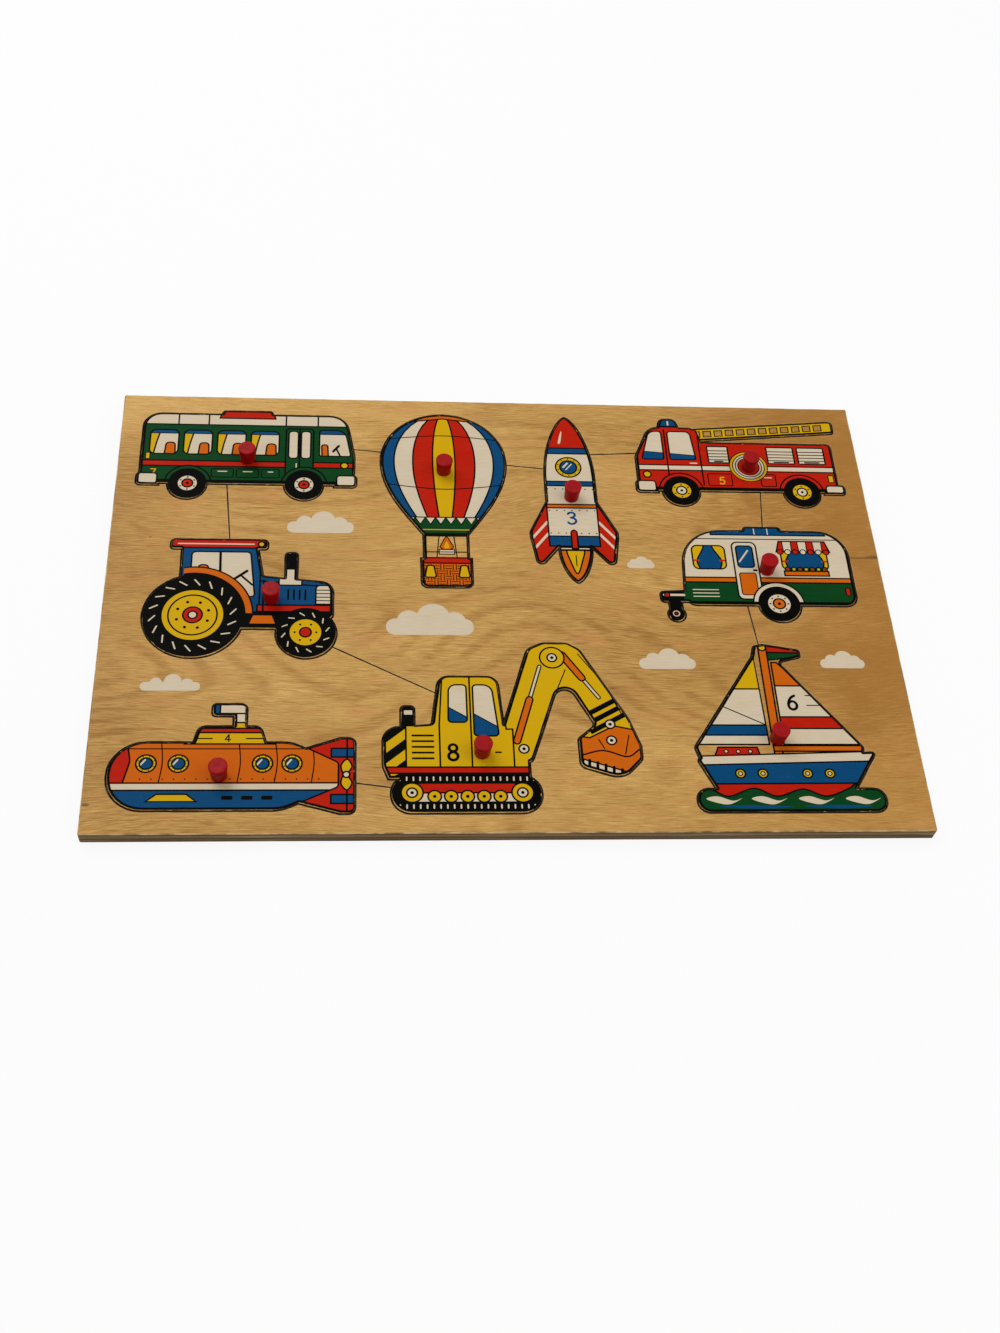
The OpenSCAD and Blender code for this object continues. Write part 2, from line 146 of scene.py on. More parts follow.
def stood(name: str, data: bpy.types.ID) -> bpy.types.Object:
    """Stands a mesh, a lamp or a lens in the scene.

    Args:
        name: The new object's name.
        data: What it shows.

    Returns:
        The object, at the origin.
    """
    thing = bpy.data.objects.new(name, data)
    bpy.context.scene.collection.objects.link(thing)
    return thing


def box_of(node: str) -> tuple[Points, Points]:
    """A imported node's lowest and highest corners in millimetres."""
    low, high = (np.array(corner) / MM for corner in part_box(node))
    return low, high


def waver(places: Points, length: float) -> np.ndarray:
    """An unevenness that changes over a length.

    It is the mean of three sines along different ways, so it never repeats within the board.

    Args:
        places: Rows of x and y.
        length: The length that it changes over.

    Returns:
        A number between about -1 and 1 for each place.
    """
    x, y = places[..., 0] / length, places[..., 1] / length
    return (np.sin(5.1 * x + 2.3 * y) + np.sin(3.7 * y - 2.9 * x + 1.3)
            + np.sin(7.3 * x - 6.1 * y + 4.1)) / 3


def steps_of(counts: np.ndarray) -> tuple[np.ndarray, np.ndarray]:
    """For stretches of so many points, each point's stretch and its number in it."""
    which = np.repeat(np.arange(len(counts)), counts)
    return which, np.arange(len(which)) - np.repeat(np.cumsum(counts) - counts, counts)


def mitres(loop: Points) -> tuple[Points, Points, Points]:
    """Finds how the corners of a loop move with its edges.

    The two edges' ways to the left are added and divided by 1 plus the cosine of their turn.

    Args:
        loop: The loop's corners.

    Returns:
        The ways ahead of the corners, those behind them, and the way that each corner takes when
        its edges move left by 1.
    """
    ahead = unit(np.roll(loop, -1, axis=0) - loop)
    behind = np.roll(ahead, 1, axis=0)
    bluntness = np.maximum(1 + (behind * ahead).sum(axis=1), MITRE_FLOOR)
    return ahead, behind, (left_of(behind) + left_of(ahead)) / bluntness[:, None]


def rounded(corners: Points, grow: float = 0.0) -> Points:
    """Points of an anticlockwise outline with round corners, moved outwards.

    Each arc starts radius * tan(turn / 2) before its corner and turns about the point that lies
    one radius to the side of its start. A corner with no radius stays sharp.

    Args:
        corners: A row of x, y and radius for each corner.
        grow: How far the outline is moved outwards, or inwards where it is negative.

    Returns:
        The outline's points.
    """
    ahead, behind, ways = mitres(corners[:, :2])
    turn = np.arctan2(crossed(behind, ahead), (behind * ahead).sum(axis=1))
    radius = np.maximum(corners[:, 2] + np.sign(turn) * grow, 0) * (corners[:, 2] > 0)
    starts = corners[:, :2] - grow * ways - behind * (radius * np.tan(np.abs(turn) / 2))[:, None]
    arms = -left_of(behind) * (np.sign(turn) * radius)[:, None]
    counts = np.where(radius > 0, np.ceil(np.abs(turn) / ARC_STEP), 0).astype(int) + 1
    which, step = steps_of(counts)
    angle = turn[which] * step / np.maximum(counts[which] - 1, 1)
    arm = arms[which]
    swung = arm * np.cos(angle)[:, None] + left_of(arm) * np.sin(angle)[:, None]
    return starts[which] - arm + swung


def smoothed(points: Points, closed: bool = False, steps: int = 7) -> Points:
    """A smooth curve through the points.

    Between two points it is the Catmull-Rom cubic, whose slope at each point is half the way
    from the point before it to the point after it.

    Args:
        points: The places that the curve goes through.
        closed: Whether it runs back to its first point.
        steps: How many straight stretches each span gets.

    Returns:
        The curve's points, without the first one repeated where it is closed.
    """
    first, last = 2 * points[:1] - points[1:2], 2 * points[-1:] - points[-2:-1]
    ends = (points[-1:], points[:2]) if closed else (first, last)
    padded = np.concatenate([ends[0], points, ends[1]])
    a, b, c, d = padded[:-3, None], padded[1:-2, None], padded[2:-1, None], padded[3:, None]
    t = (np.arange(steps) / steps)[None, :, None]
    curve = b + t * (c - a) / 2 + t**2 * (2 * a - 5 * b + 4 * c - d) / 2
    curve = (curve + t**3 * (3 * b - a - 3 * c + d) / 2).reshape(-1, 2)
    return curve if closed else np.concatenate([curve, points[-1:]])


def finer(loop: Points, longest: float) -> Points:
    """Cuts the straight stretches of a loop up.

    Args:
        loop: The closed loop.
        longest: The longest that a stretch may be.

    Returns:
        The loop with the further points.
    """
    ahead = np.roll(loop, -1, axis=0) - loop
    counts = np.maximum(np.ceil(np.linalg.norm(ahead, axis=1) / longest), 1).astype(int)
    which, step = steps_of(counts)
    return loop[which] + ahead[which] * (step / counts[which])[:, None]


def inset(loop: Points, distance: np.ndarray | float) -> Points:
    """Moves a loop to its left, which is into the wood, by a distance, with mitred corners."""
    return loop + mitres(loop)[2] * np.broadcast_to(distance, len(loop))[:, None]


def eased(loop: Points, distance: float) -> Points:
    """Takes points out of a loop until none of its edges turns over when it is inset.

    Args:
        loop: The loop.
        distance: How far it is going to be inset.

    Returns:
        The loop with the points that are left.
    """
    while True:
        before = np.roll(loop, -1, axis=0) - loop
        moved = inset(loop, distance)
        after = np.roll(moved, -1, axis=0) - moved
        turned = (before * after).sum(axis=1) < EDGE_LEFT * (before**2).sum(axis=1)
        turned &= ~np.roll(turned, 1)
        if not turned.any():
            return loop
        loop = loop[~np.roll(turned, 1)]


def rim_edges(triangles: np.ndarray) -> tuple[np.ndarray, np.ndarray]:
    """Finds the edges that only one triangle has.

    Args:
        triangles: Rows of three point numbers, anticlockwise.

    Returns:
        The numbers of the edges' starts and of their ends.
    """
    starts, ends = triangles.ravel(), np.roll(triangles, -1, axis=1).ravel()
    count = triangles.max() + 1
    rim = ~np.isin(starts * count + ends, ends * count + starts)
    return starts[rim], ends[rim]


def top_loops(node: str) -> list[Points]:
    """Reads the outlines of a node's upper face.

    Each loop's points are put in order by doubling: every point learns, in a few rounds, how
    many steps it has to go until the loop's last point.

    Args:
        node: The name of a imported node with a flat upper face.

    Returns:
        The loops in millimetres, anticlockwise round the wood and clockwise round its holes.
    """
    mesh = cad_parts[node].data
    mesh.calc_loop_triangles()
    places = np.empty(len(mesh.vertices) * 3)
    mesh.vertices.foreach_get("co", places)
    places = places.reshape(-1, 3) / MM
    triangles = np.empty(len(mesh.loop_triangles) * 3, np.int32)
    mesh.loop_triangles.foreach_get("vertices", triangles)
    corners = places[triangles.reshape(-1, 3)]
    high = (corners[:, :, 2] > places[:, 2].max() - TOP_SLACK).all(axis=1)
    points = np.round(corners[high][:, :, :2].reshape(-1, 2), DECIMALS)
    points, names = np.unique(points, axis=0, return_inverse=True)
    starts, ends = rim_edges(names.reshape(-1, 3))
    numbers = np.arange(len(points))
    after = numbers.copy()
    after[starts] = ends
    rounds = int(np.ceil(np.log2(len(points)))) + 1
    first, jump = numbers, after
    for _ in range(rounds):
        first, jump = np.minimum(first, first[jump]), jump[jump]
    jump = np.where(after == first, numbers, after)
    steps = (jump != numbers).astype(int)
    for _ in range(rounds):
        steps, jump = steps + steps[jump], jump[jump]
    members = [np.flatnonzero(first == name) for name in np.unique(first[starts])]
    return [points[loop[np.argsort(-steps[loop])]] for loop in members]


def cut_apart(outlines: list[Points]) -> tuple[Points, list[list[int]], list[set[int]]]:
    """Cuts the plane up along outlines.

    Args:
        outlines: Anticlockwise outlines, which may cross.

    Returns:
        The points, the triangles, and for each triangle the numbers of the outlines round it.
    """
    ends = np.cumsum([0, *map(len, outlines)])
    faces = [list(range(a, b)) for a, b in zip(ends[:-1], ends[1:])]
    verts = [Vector(p) for p in np.concatenate(outlines).tolist()]
    points, _, found, _, _, owners = delaunay_2d_cdt(verts, [], faces, 0, CUT_GAP, True)
    return np.array([tuple(p) for p in points]), found, [set(owner) for owner in owners]


def filled(loops: list[Points]) -> tuple[Points, np.ndarray]:
    """Covers the area inside the first loop and outside the others with triangles.

    Args:
        loops: The outer loop first, then the holes. They may run either way.

    Returns:
        The points in millimetres and the triangles, anticlockwise.
    """
    points, found, owners = cut_apart([anticlockwise(loop) for loop in loops])
    return points, np.array([face for face, owner in zip(found, owners) if owner == {0}])


def band(upper: Points, lower: Points) -> tuple[Points, np.ndarray]:
    """Joins two loops by a wall.

    Args:
        upper: The upper loop, with the wood on its left.
        lower: The lower loop, of as many points.

    Returns:
        The points of both and the wall's quads.
    """
    here = np.arange(len(upper))
    after = np.roll(here, -1)
    quads = np.stack([here, after, after, here], axis=1) + len(upper) * np.array([1, 1, 0, 0])
    return np.concatenate([upper, lower]), quads


class Surface:
    """Blocks of points and faces, in millimetres, that become one closed piece."""

    def __init__(self) -> None:
        """Starts with no blocks."""
        self.points: list[Points] = []
        self.faces: list[list[int]] = []
        self.finishes: list[int] = []
        self.smooth: list[bool] = []
        self.charts: list[Points] = []

    def add(self, points: Points, faces: np.ndarray, finish: int = 0, smooth: bool = False,
            chart: Points | None = None) -> None:
        """Adds one block.

        Args:
            points: Its points, a row of x, y and z each.
            faces: Its faces, a row of point numbers each, anticlockwise from outside.
            finish: Which of the piece's finishes it takes.
            smooth: Whether it is shaded smooth.
            chart: Where its points lie on the piece's map, from 0 to 1.
        """
        offset = sum(map(len, self.points))
        self.points.append(points)
        self.faces += (faces + offset).tolist()
        self.finishes += [finish] * len(faces)
        self.smooth += [smooth] * len(faces)
        self.charts.append(np.zeros((len(points), 2)) if chart is None else chart)

    def piece(self, name: str, body: str, slot: str, materials: list[bpy.types.Material],
              stands_for: Sequence[str] = (), mapped: bool = True) -> None:
        """Makes the surface a piece of the model.

        Args:
            name: The piece's name.
            body: The body that it rides on.
            slot: A material slot's name; it is not used.
            materials: Its finishes, in the order of their numbers.
            stands_for: The nodes that it replaces.
            mapped: Whether its blocks came with a map.
        """
        mesh = bpy.data.meshes.new(name)
        mesh.from_pydata((np.concatenate(self.points) * MM).tolist(), [], self.faces)
        mesh.polygons.foreach_set("material_index", self.finishes)
        mesh.polygons.foreach_set("use_smooth", self.smooth)
        if mapped:
            numbers = np.empty(len(mesh.loops), np.int32)
            mesh.loops.foreach_get("vertex_index", numbers)
            chart = mesh.uv_layers.new(name="OFBake")
            chart.data.foreach_set("uv", np.concatenate(self.charts)[numbers].ravel())
        weld = bmesh.new()
        weld.from_mesh(mesh)
        bmesh.ops.remove_doubles(weld, verts=weld.verts, dist=WELD_GAP * MM)
        weld.to_mesh(mesh)
        weld.free()
        mesh.set_sharp_from_angle(angle=SHARP_TURN)
        for material in materials:
            mesh.materials.append(material)
        piece = stood(name, mesh)
        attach(piece, body)
        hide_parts(*stands_for)
        LOG.info("%s: %d faces on %s", name, len(mesh.polygons), body)


class Channel:
    """A number that changes over a surface. Sums and products of it add the nodes for them."""

    def __init__(self, graph: "Graph", socket: bpy.types.NodeSocket) -> None:
        """Wraps a socket of a graph."""
        self.graph = graph
        self.socket = socket

    def _with(self, operation: str, first: object, second: object) -> "Channel":
        """Adds the Math node that joins two values."""
        node = self.graph.node("ShaderNodeMath", {"operation": operation}, {0: first, 1: second})
        return Channel(self.graph, node.outputs[0])

    def __add__(self, other: object) -> "Channel":
        """Self plus other."""
        return self._with("ADD", self, other)

    def __sub__(self, other: object) -> "Channel":
        """Self less other."""
        return self._with("SUBTRACT", self, other)

    def __rsub__(self, other: object) -> "Channel":
        """Other less self."""
        return self._with("SUBTRACT", other, self)

    def __mul__(self, other: object) -> "Channel":
        """Self times other."""
        return self._with("MULTIPLY", self, other)

    def __truediv__(self, other: object) -> "Channel":
        """Self divided by other."""
        return self._with("DIVIDE", self, other)

    def sine(self) -> "Channel":
        """The sine of self, moved and halved so that it lies between 0 and 1."""
        return self._with("SINE", self, 0.0) * 0.5 + 0.5

    def within(self, low: float, high: float) -> "Channel":
        """How far self has come from low to high, eased at both ends and held there.

        Args:
            low: The value that gives 0.
            high: The value that gives 1.

        Returns:
            A number from 0 to 1.
        """
        node = self.graph.node("ShaderNodeMapRange", {"interpolation_type": "SMOOTHSTEP"},
                               {0: self, 1: low, 2: high})
        return Channel(self.graph, node.outputs[0])

    __radd__ = __add__
    __rmul__ = __mul__


class Graph:
    """The nodes of one new material, or of the sky, which read places on the board."""

    def __init__(self, name: str, sky: bpy.types.World | None = None) -> None:
        """Starts with the place alone.

        Args:
            name: The new material's name.
            sky: The sky that takes the nodes instead of a new material.
        """
        self.material = sky or bpy.data.materials.new(name)
        self.material.use_nodes = True
        self.tree = self.material.node_tree
        self.tree.nodes.clear()
        self.place = self.node("ShaderNodeTexCoord", {}, {}).outputs["Object"]

    def node(self, kind: str, settings: dict, inputs: dict) -> bpy.types.Node:
        """Adds a node.

        Args:
            kind: The node's type.
            settings: Its properties, set before its sockets, and a ramp's "stops".
            inputs: A value or a link for each named or numbered socket.

        Returns:
            The node.
        """
        node = self.tree.nodes.new(kind)
        for name, value in settings.items():
            if name != "stops":
                setattr(node, name, value)
                continue
            ramp = node.color_ramp.elements
            while len(ramp) < len(value):
                ramp.new(1.0)
            for stop, (position, colour) in zip(ramp, value):
                stop.position = position
                stop.color = colour
        for name, value in inputs.items():
            source = value.socket if isinstance(value, Channel) else value
            if isinstance(source, bpy.types.NodeSocket):
                self.tree.links.new(source, node.inputs[name])
            else:
                node.inputs[name].default_value = source
        return node

    def along(self, axis: str) -> Channel:
        """The place along one axis, in millimetres."""
        apart = self.node("ShaderNodeSeparateXYZ", {}, {0: self.place})
        return Channel(self, apart.outputs[axis]) / MM

    def noise(self, size: Lengths, detail: float = 2.0, seed: float = 0.0) -> Channel:
        """Noise about 0.5 whose blobs have the given length along each axis.

        Args:
            size: The blobs' length along x, y and z.
            detail: How many finer layers are added.
            seed: Which part of the noise is taken.

        Returns:
            The noise's value.
        """
        stretch = tuple(1 / (length * MM) for length in size)
        inputs = {0: self.place, 1: stretch, 2: (seed, seed * 0.7, seed * 1.3)}
        place = self.node("ShaderNodeVectorMath", {"operation": "MULTIPLY_ADD"}, inputs)
        inputs = {"Vector": place.outputs[0], "Scale": 1.0, "Detail": detail}
        return Channel(self, self.node("ShaderNodeTexNoise", {}, inputs).outputs[0])

    def bend(self, reach: float, pattern: Pattern) -> None:
        """Moves the places that later patterns read to and fro across the fibres.

        Args:
            reach: How far the places are moved at the most, in millimetres.
            pattern: The noise that they are moved by.
        """
        sway = (self.noise(*pattern) - 0.5) * (2 * reach * MM)
        offset = self.node("ShaderNodeCombineXYZ", {}, {1: sway}).outputs[0]
        inputs = {0: self.place, 1: offset}
        self.place = self.node("ShaderNodeVectorMath", {"operation": "ADD"}, inputs).outputs[0]

    def mix(self, low: object, high: object, share: object) -> bpy.types.NodeSocket:
        """A colour that share of the way from low to high."""
        inputs = {0: share, 6: low, 7: high}
        return self.node("ShaderNodeMix", {"data_type": "RGBA"}, inputs).outputs[2]

    def ramp(self, value: Channel, stops: list[tuple[float, Colour]]) -> bpy.types.NodeSocket:
        """The colour that a ramp's stops give to a value."""
        return self.node("ShaderNodeValToRGB", {"stops": stops}, {0: value}).outputs[0]

    def seen_directly(self) -> Channel:
        """Tells what the camera sees from what only lights the scene.

        Returns:
            1 for what the camera sees, also in a gloss or through glass, and 0 for the rest.
        """
        path = self.node("ShaderNodeLightPath", {}, {})
        camera, gloss, glass = (Channel(self, path.outputs[f"Is {kind} Ray"])
                                for kind in ("Camera", "Glossy", "Transmission"))
        return camera + gloss + glass

    def surface(self, colour: object, roughness: object, height: Channel, depth: float,
                specular: float) -> bpy.types.Material:
        """Joins the colour, roughness and relief into the material.

        Args:
            colour: The base colour.
            roughness: The roughness.
            height: The relief, from 0 to 1.
            depth: How deep the relief is, in millimetres.
            specular: How strongly it mirrors, where 0.5 is a common plastic.

        Returns:
            The material.
        """
        inputs = {"Strength": 1.0, "Distance": depth * MM, "Height": height}
        relief = self.node("ShaderNodeBump", {}, inputs).outputs[0]
        inputs = {"Base Color": colour, "Roughness": roughness, "Normal": relief,
                  "Specular IOR Level": specular}
        shader = self.node("ShaderNodeBsdfPrincipled", {}, inputs)
        self.node("ShaderNodeOutputMaterial", {}, {"Surface": shader.outputs[0]})
        return self.material


@dataclass(frozen=True)
class Finish:
    """What one kind of surface looks like."""

    name: str

    def material(self) -> bpy.types.Material:
        """Joins the finish's nodes.

        Returns:
            The new material.
        """
        raise NotImplementedError


@dataclass(frozen=True)
class Knot:
    """A small dark mark in the veneer: its place and its half lengths."""

    place: Place
    reach: Place

    def mask(self, graph: Graph) -> Channel:
        """The mark's strength at each place.

        Args:
            graph: The veneer's nodes.

        Returns:
            1 in the mark's middle, falling to 0 at its rim.
        """
        x, y = ((graph.along(axis) - middle) / reach
                for axis, middle, reach in zip("XY", self.place, self.reach))
        return 1 - (x * x + y * y).within(0.1, 1.0)


def bent_fibres(graph: Graph) -> Channel:
    """The veneer's fibres, which run along x and bend gently round the old growth rings."""
    graph.bend(16, ((170, 75, 75), 1.0, 2.6))
    return graph.noise((9, 0.5, 0.5), detail=4.0, seed=5.3)


@dataclass(frozen=True)
class Veneer(Finish):
    """Birch veneer with its fibres along the board's long side."""

    pale: Colour = linear(206, 165, 97)
    usual: Colour = linear(182, 140, 75)
    dark: Colour = linear(146, 103, 46)
    ruddy: Colour = linear(188, 131, 74)
    honey: Colour = linear(166, 112, 44)
    fleck: Colour = linear(104, 68, 34)
    roughness: float = 0.48
    # How much the board's far right part is darkened as painted shade, how much darker its left
    # end is, how much its far left part is lightened as painted light, and how much warmer its
    # right end is
    right_painted_shade: float = 0.3
    end_tone: float = 0.13
    left_painted_light: float = 0.12
    warm_end: float = 0.4
    knots: tuple[Knot, ...] = ()
    # The slow drift, the threads and patches of tone, the rings' sway and their gaps, the dark
    # and pale lines, the ruddy flush and the pores
    drift: Pattern = ((130, 50, 50), 2.0, 3.1)
    thread: Pattern = ((9.0, 0.42, 0.42), 3.0, 9.1)
    patch: Pattern = ((50, 9, 9), 3.0, 1.9)
    ring_sway: Pattern = ((170, 90, 90), 0.4, 7.7)
    ring_gap: Pattern = ((60, 28, 28), 2.0, 8.8)
    dark_line: Pattern = ((55, 0.9, 0.9), 2.0, 4.9)
    pale_line: Pattern = ((40, 0.7, 0.7), 2.0, 6.4)
    flush: Pattern = ((24, 9, 9), 2.0, 3.7)
    pore: Pattern = ((2.6, 0.22, 0.22), 1.0, 2.2)

    def material(self) -> bpy.types.Material:
        """Slow drifts of tone, bent growth rings, fine fibres, short pores, small knots, painted
        shade over the far right part and painted light over the far left part.

        Returns:
            The new material.
        """
        graph = Graph(self.name)
        marks = [knot.mask(graph) for knot in self.knots]
        right = graph.along("X").within(80, 205)
        # Where the far right part is darkened as painted shade
        corner = right * graph.along("Y").within(-150, -40)
        end = graph.along("X").within(-130, -215) * graph.along("Y").within(125, 60)
        # Where the far left part is lightened as painted light
        light = graph.along("X").within(40, -60) * graph.along("Y").within(95, 130)
        drift = graph.noise(*self.drift)
        fibre = bent_fibres(graph)
        thread, patch = graph.noise(*self.thread), graph.noise(*self.patch)
        ring = (graph.along("Y") / 3.5 + graph.noise(*self.ring_sway) * 95).sine().within(0.2, 1.0)
        ring = ring * ring * graph.noise(*self.ring_gap).within(0.4, 0.62)
        dark_line, pale_line = (graph.noise(*line).within(0.58, 0.72)
                                for line in (self.dark_line, self.pale_line))
        tone = (0.5 + (drift - 0.5) * 0.5 + (patch - 0.5) * 0.12 + (fibre - 0.5) * 0.55
                + (thread - 0.5) * 0.85 + ring * 0.14 + dark_line * 0.16 - pale_line * 0.12
                + corner * self.right_painted_shade + end * self.end_tone - light * self.left_painted_light)
        colour = graph.ramp(tone, [(0.22, self.pale), (0.5, self.usual), (0.8, self.dark)])
        colour = graph.mix(colour, self.ruddy, graph.noise(*self.flush).within(0.5, 0.75) * 0.4)
        colour = graph.mix(colour, self.honey, right * self.warm_end)
        pores = graph.noise(*self.pore).within(0.62, 0.72)
        for mark in (pores * 0.35, *(knot * 0.8 for knot in marks)):
            colour = graph.mix(colour, self.fleck, mark)
        relief = fibre * 0.6 + thread * 0.4 - pores * 0.5
        return graph.surface(colour, self.roughness + (fibre - 0.5) * 0.25, relief, 0.03, 0.12)


@dataclass(frozen=True)
class PlyEdge(Finish):
    """The sawn edge of the plywood, with its plies, glue lines and fibre ends."""

    # The plies' own colours, darkened further as painted shade of the upright sawn edge
    along: Colour = linear(132, 106, 68)
    across: Colour = linear(88, 68, 42)
    glue: Colour = linear(44, 32, 20)
    bright: Colour = linear(188, 166, 128)
    # Heights of the glue lines above the board's underside
    levels: tuple[float, ...] = (0.9, 2.1, 3.0, 4.25, 6.7)
    height: float = 8.0
    glue_height: float = 0.13
    # How sharply a ply turns into glue, as a share of the height
    blur: float = 0.004

    def material(self) -> bpy.types.Material:
        """Plies of two tones, darkened partly as painted shade, with thin glue lines between them,
        streaked along their fibres.

        Returns:
            The new material.
        """
        graph = Graph(self.name)
        sway = (graph.noise((24, 24, 2), detail=2.0) - 0.5) * 0.35
        stops = [(0.0, self.along)]
        for number, top in enumerate(self.levels):
            below, above = ((self.along, self.across), (self.across, self.along))[number % 2]
            low, high = (top - self.glue_height) / self.height, top / self.height
            stops += [(low - self.blur, below), (low, self.glue), (high, self.glue),
                      (high + self.blur, above)]
        plies = graph.ramp((graph.along("Z") + sway) / self.height, stops)
        streak = graph.noise((18, 18, 0.25), detail=3.0, seed=4.2)
        ends = graph.noise((0.5, 0.5, 0.35), detail=2.0, seed=8.4)
        clean = graph.noise((55, 55, 2.2), detail=2.0, seed=6.6).within(0.5, 0.68)
        colour = graph.mix(plies, self.glue, (streak + ends * 0.7).within(0.78, 1.2) * 0.75)
        colour = graph.mix(colour, self.bright, clean * streak.within(0.45, 0.62) * 0.55)
        return graph.surface(colour, 0.75, streak * 0.5 + ends * 0.5, 0.12, 0.2)


@dataclass(frozen=True)
class WornRimWithPaintedHighlight(Finish):
    """The top edge, where handling has rubbed the varnish and the ink away, paler still as a
    painted highlight.
    """

    # Paler than the veneer, partly for the worn fibres and partly as a painted highlight along the
    # edge
    rubbed: Colour = linear(205, 174, 126)
    grimy: Colour = linear(120, 92, 60)

    def material(self) -> bpy.types.Material:
        """Pale rubbed fibres, partly a painted highlight, with grimy stretches between them.

        Returns:
            The new material.
        """
        graph = Graph(self.name)
        stretch = graph.noise((9, 9, 4), detail=3.0, seed=2.7)
        fibre = graph.noise((4, 0.4, 0.4), detail=2.0, seed=5.9)
        colour = graph.mix(self.rubbed, self.grimy, (stretch + fibre * 0.4).within(0.55, 0.9))
        return graph.surface(colour, 0.7, fibre, 0.05, 0.2)


@dataclass(frozen=True)
class InkedRim(Finish):
    """The top edge of a printed shape: ink that ran over it, rubbed through in places."""

    ink: Colour = linear(16, 14, 12)
    rubbed: Colour = linear(168, 144, 108)
    stain: Colour = linear(84, 64, 42)

    def material(self) -> bpy.types.Material:
        """Black with pale and brown stretches of bare fibres.

        Returns:
            The new material.
        """
        graph = Graph(self.name)
        stretch = graph.noise((7, 7, 4), detail=3.0, seed=2.9)
        fibre = graph.noise((2.5, 0.4, 0.4), detail=2.0, seed=5.9)
        bare = graph.mix(self.stain, self.rubbed, fibre.within(0.38, 0.6))
        worn = (stretch + (fibre - 0.5) * 0.3).within(0.56, 0.64)
        return graph.surface(graph.mix(self.ink, bare, worn), 0.6, fibre, 0.04, 0.12)


@dataclass(frozen=True)
class Lacquer(Finish):
    """Satin lacquer on turned wood."""

    colour: Colour = linear(150, 6, 10)
    shade: Colour = linear(124, 4, 8)
    roughness: float = 0.4

    def material(self) -> bpy.types.Material:
        """An even red with faint turning marks and slightly thinner and thicker patches.

        Returns:
            The new material.
        """
        graph = Graph(self.name)
        patch = graph.noise((3.5, 3.5, 2.5), detail=2.0, seed=1.1)
        turning = graph.noise((6, 6, 0.35), detail=2.0, seed=3.3)
        colour = graph.mix(self.colour, self.shade, (patch + turning * 0.5).within(0.6, 1.1))
        return graph.surface(colour, self.roughness + (patch - 0.5) * 0.3, turning, 0.04, 0.1)


@dataclass(frozen=True)
class InkFinish(Finish):
    """A printing ink: its colour, how much of the grain it lets through and how thick it lies."""

    colour: Colour
    grain: float = 0.10
    thickness: float = 0.05
    gloss: float = 0.03
    roughness: float = 0.42
    wood: Colour = linear(184, 143, 78)

    def material(self) -> bpy.types.Material:
        """A flat colour with the grain showing faintly and a few pinholes down to the wood.

        Returns:
            The new material.
        """
        graph = Graph(f"{self.name} ink")
        cloud = graph.noise((14, 9, 9), detail=2.0, seed=4.4)
        pinholes = graph.noise((0.55, 0.35, 0.35), detail=1.0, seed=6.1).within(0.765, 0.8)
        fibre = bent_fibres(graph)
        thin = (fibre * 0.75 + cloud * 0.25).within(0.4, 0.68)
        colour = graph.mix(self.colour, self.wood, thin * self.grain + pinholes * 0.4)
        return graph.surface(colour, self.roughness + (cloud - 0.5) * 0.2,
                             fibre - pinholes * 0.6, 0.015, self.gloss)


class Ink(Enum):
    """The printer's inks. BARE stands for wood that is left unprinted."""

    BLACK = InkFinish("black", linear(5, 5, 4), grain=0.0, thickness=0.07, gloss=0.015)
    WHITE = InkFinish("white", linear(199, 185, 161), grain=0.24)
    GREEN = InkFinish("green", linear(0, 57, 21), grain=0.01)
    RED = InkFinish("red", linear(172, 22, 4), grain=0.03)
    BLUE = InkFinish("blue", linear(0, 64, 106), grain=0.012)
    YELLOW = InkFinish("yellow", linear(196, 155, 2), grain=0.08)
    ORANGE = InkFinish("orange", linear(190, 88, 4), grain=0.06)
    BARE = None


BLACK, WHITE, GREEN, RED, BLUE, YELLOW, ORANGE, BARE = Ink


class Finishes:
    """Every material, made once and looked up by what it is for."""

    def __init__(self) -> None:
        """Makes the materials."""
        knots = (Knot((-207.5, -124.0), (2.4, 1.2)), Knot((152.0, 44.0), (1.1, 0.7)),
                 Knot((-34.0, -20.0), (0.9, 0.6)), Knot((-188.5, 38.5), (1.0, 0.6)),
                 Knot((-194.0, 87.5), (0.8, 0.6)), Knot((53.5, -56.5), (3.0, 0.55)),
                 Knot((209.0, 30.5), (9.0, 1.1)), Knot((196.0, 29.6), (24.0, 0.7)))
        self.veneer = Veneer("birch veneer", knots=knots).material()
        self.back = Veneer("backing veneer", pale=linear(205, 172, 124),
                           usual=linear(184, 147, 98), dark=linear(152, 115, 72),
                           roughness=0.6, right_painted_shade=0.0, end_tone=0.0,
                           left_painted_light=0.0, warm_end=0.0).material()
        self.edge = PlyEdge("sawn plywood").material()
        self.rim = WornRimWithPaintedHighlight("worn edge with painted highlight").material()
        self.inked_rim = InkedRim("inked edge").material()
        self.lacquer = Lacquer("peg lacquer").material()
        self.inks = {ink: ink.value.material() for ink in Ink if ink is not BARE}

    def plate(self, rim: bpy.types.Material) -> list[bpy.types.Material]:
        """The finishes of a plate: its face, its rim, its sawn edge and its underside."""
        return [self.veneer, rim, self.edge, self.back]


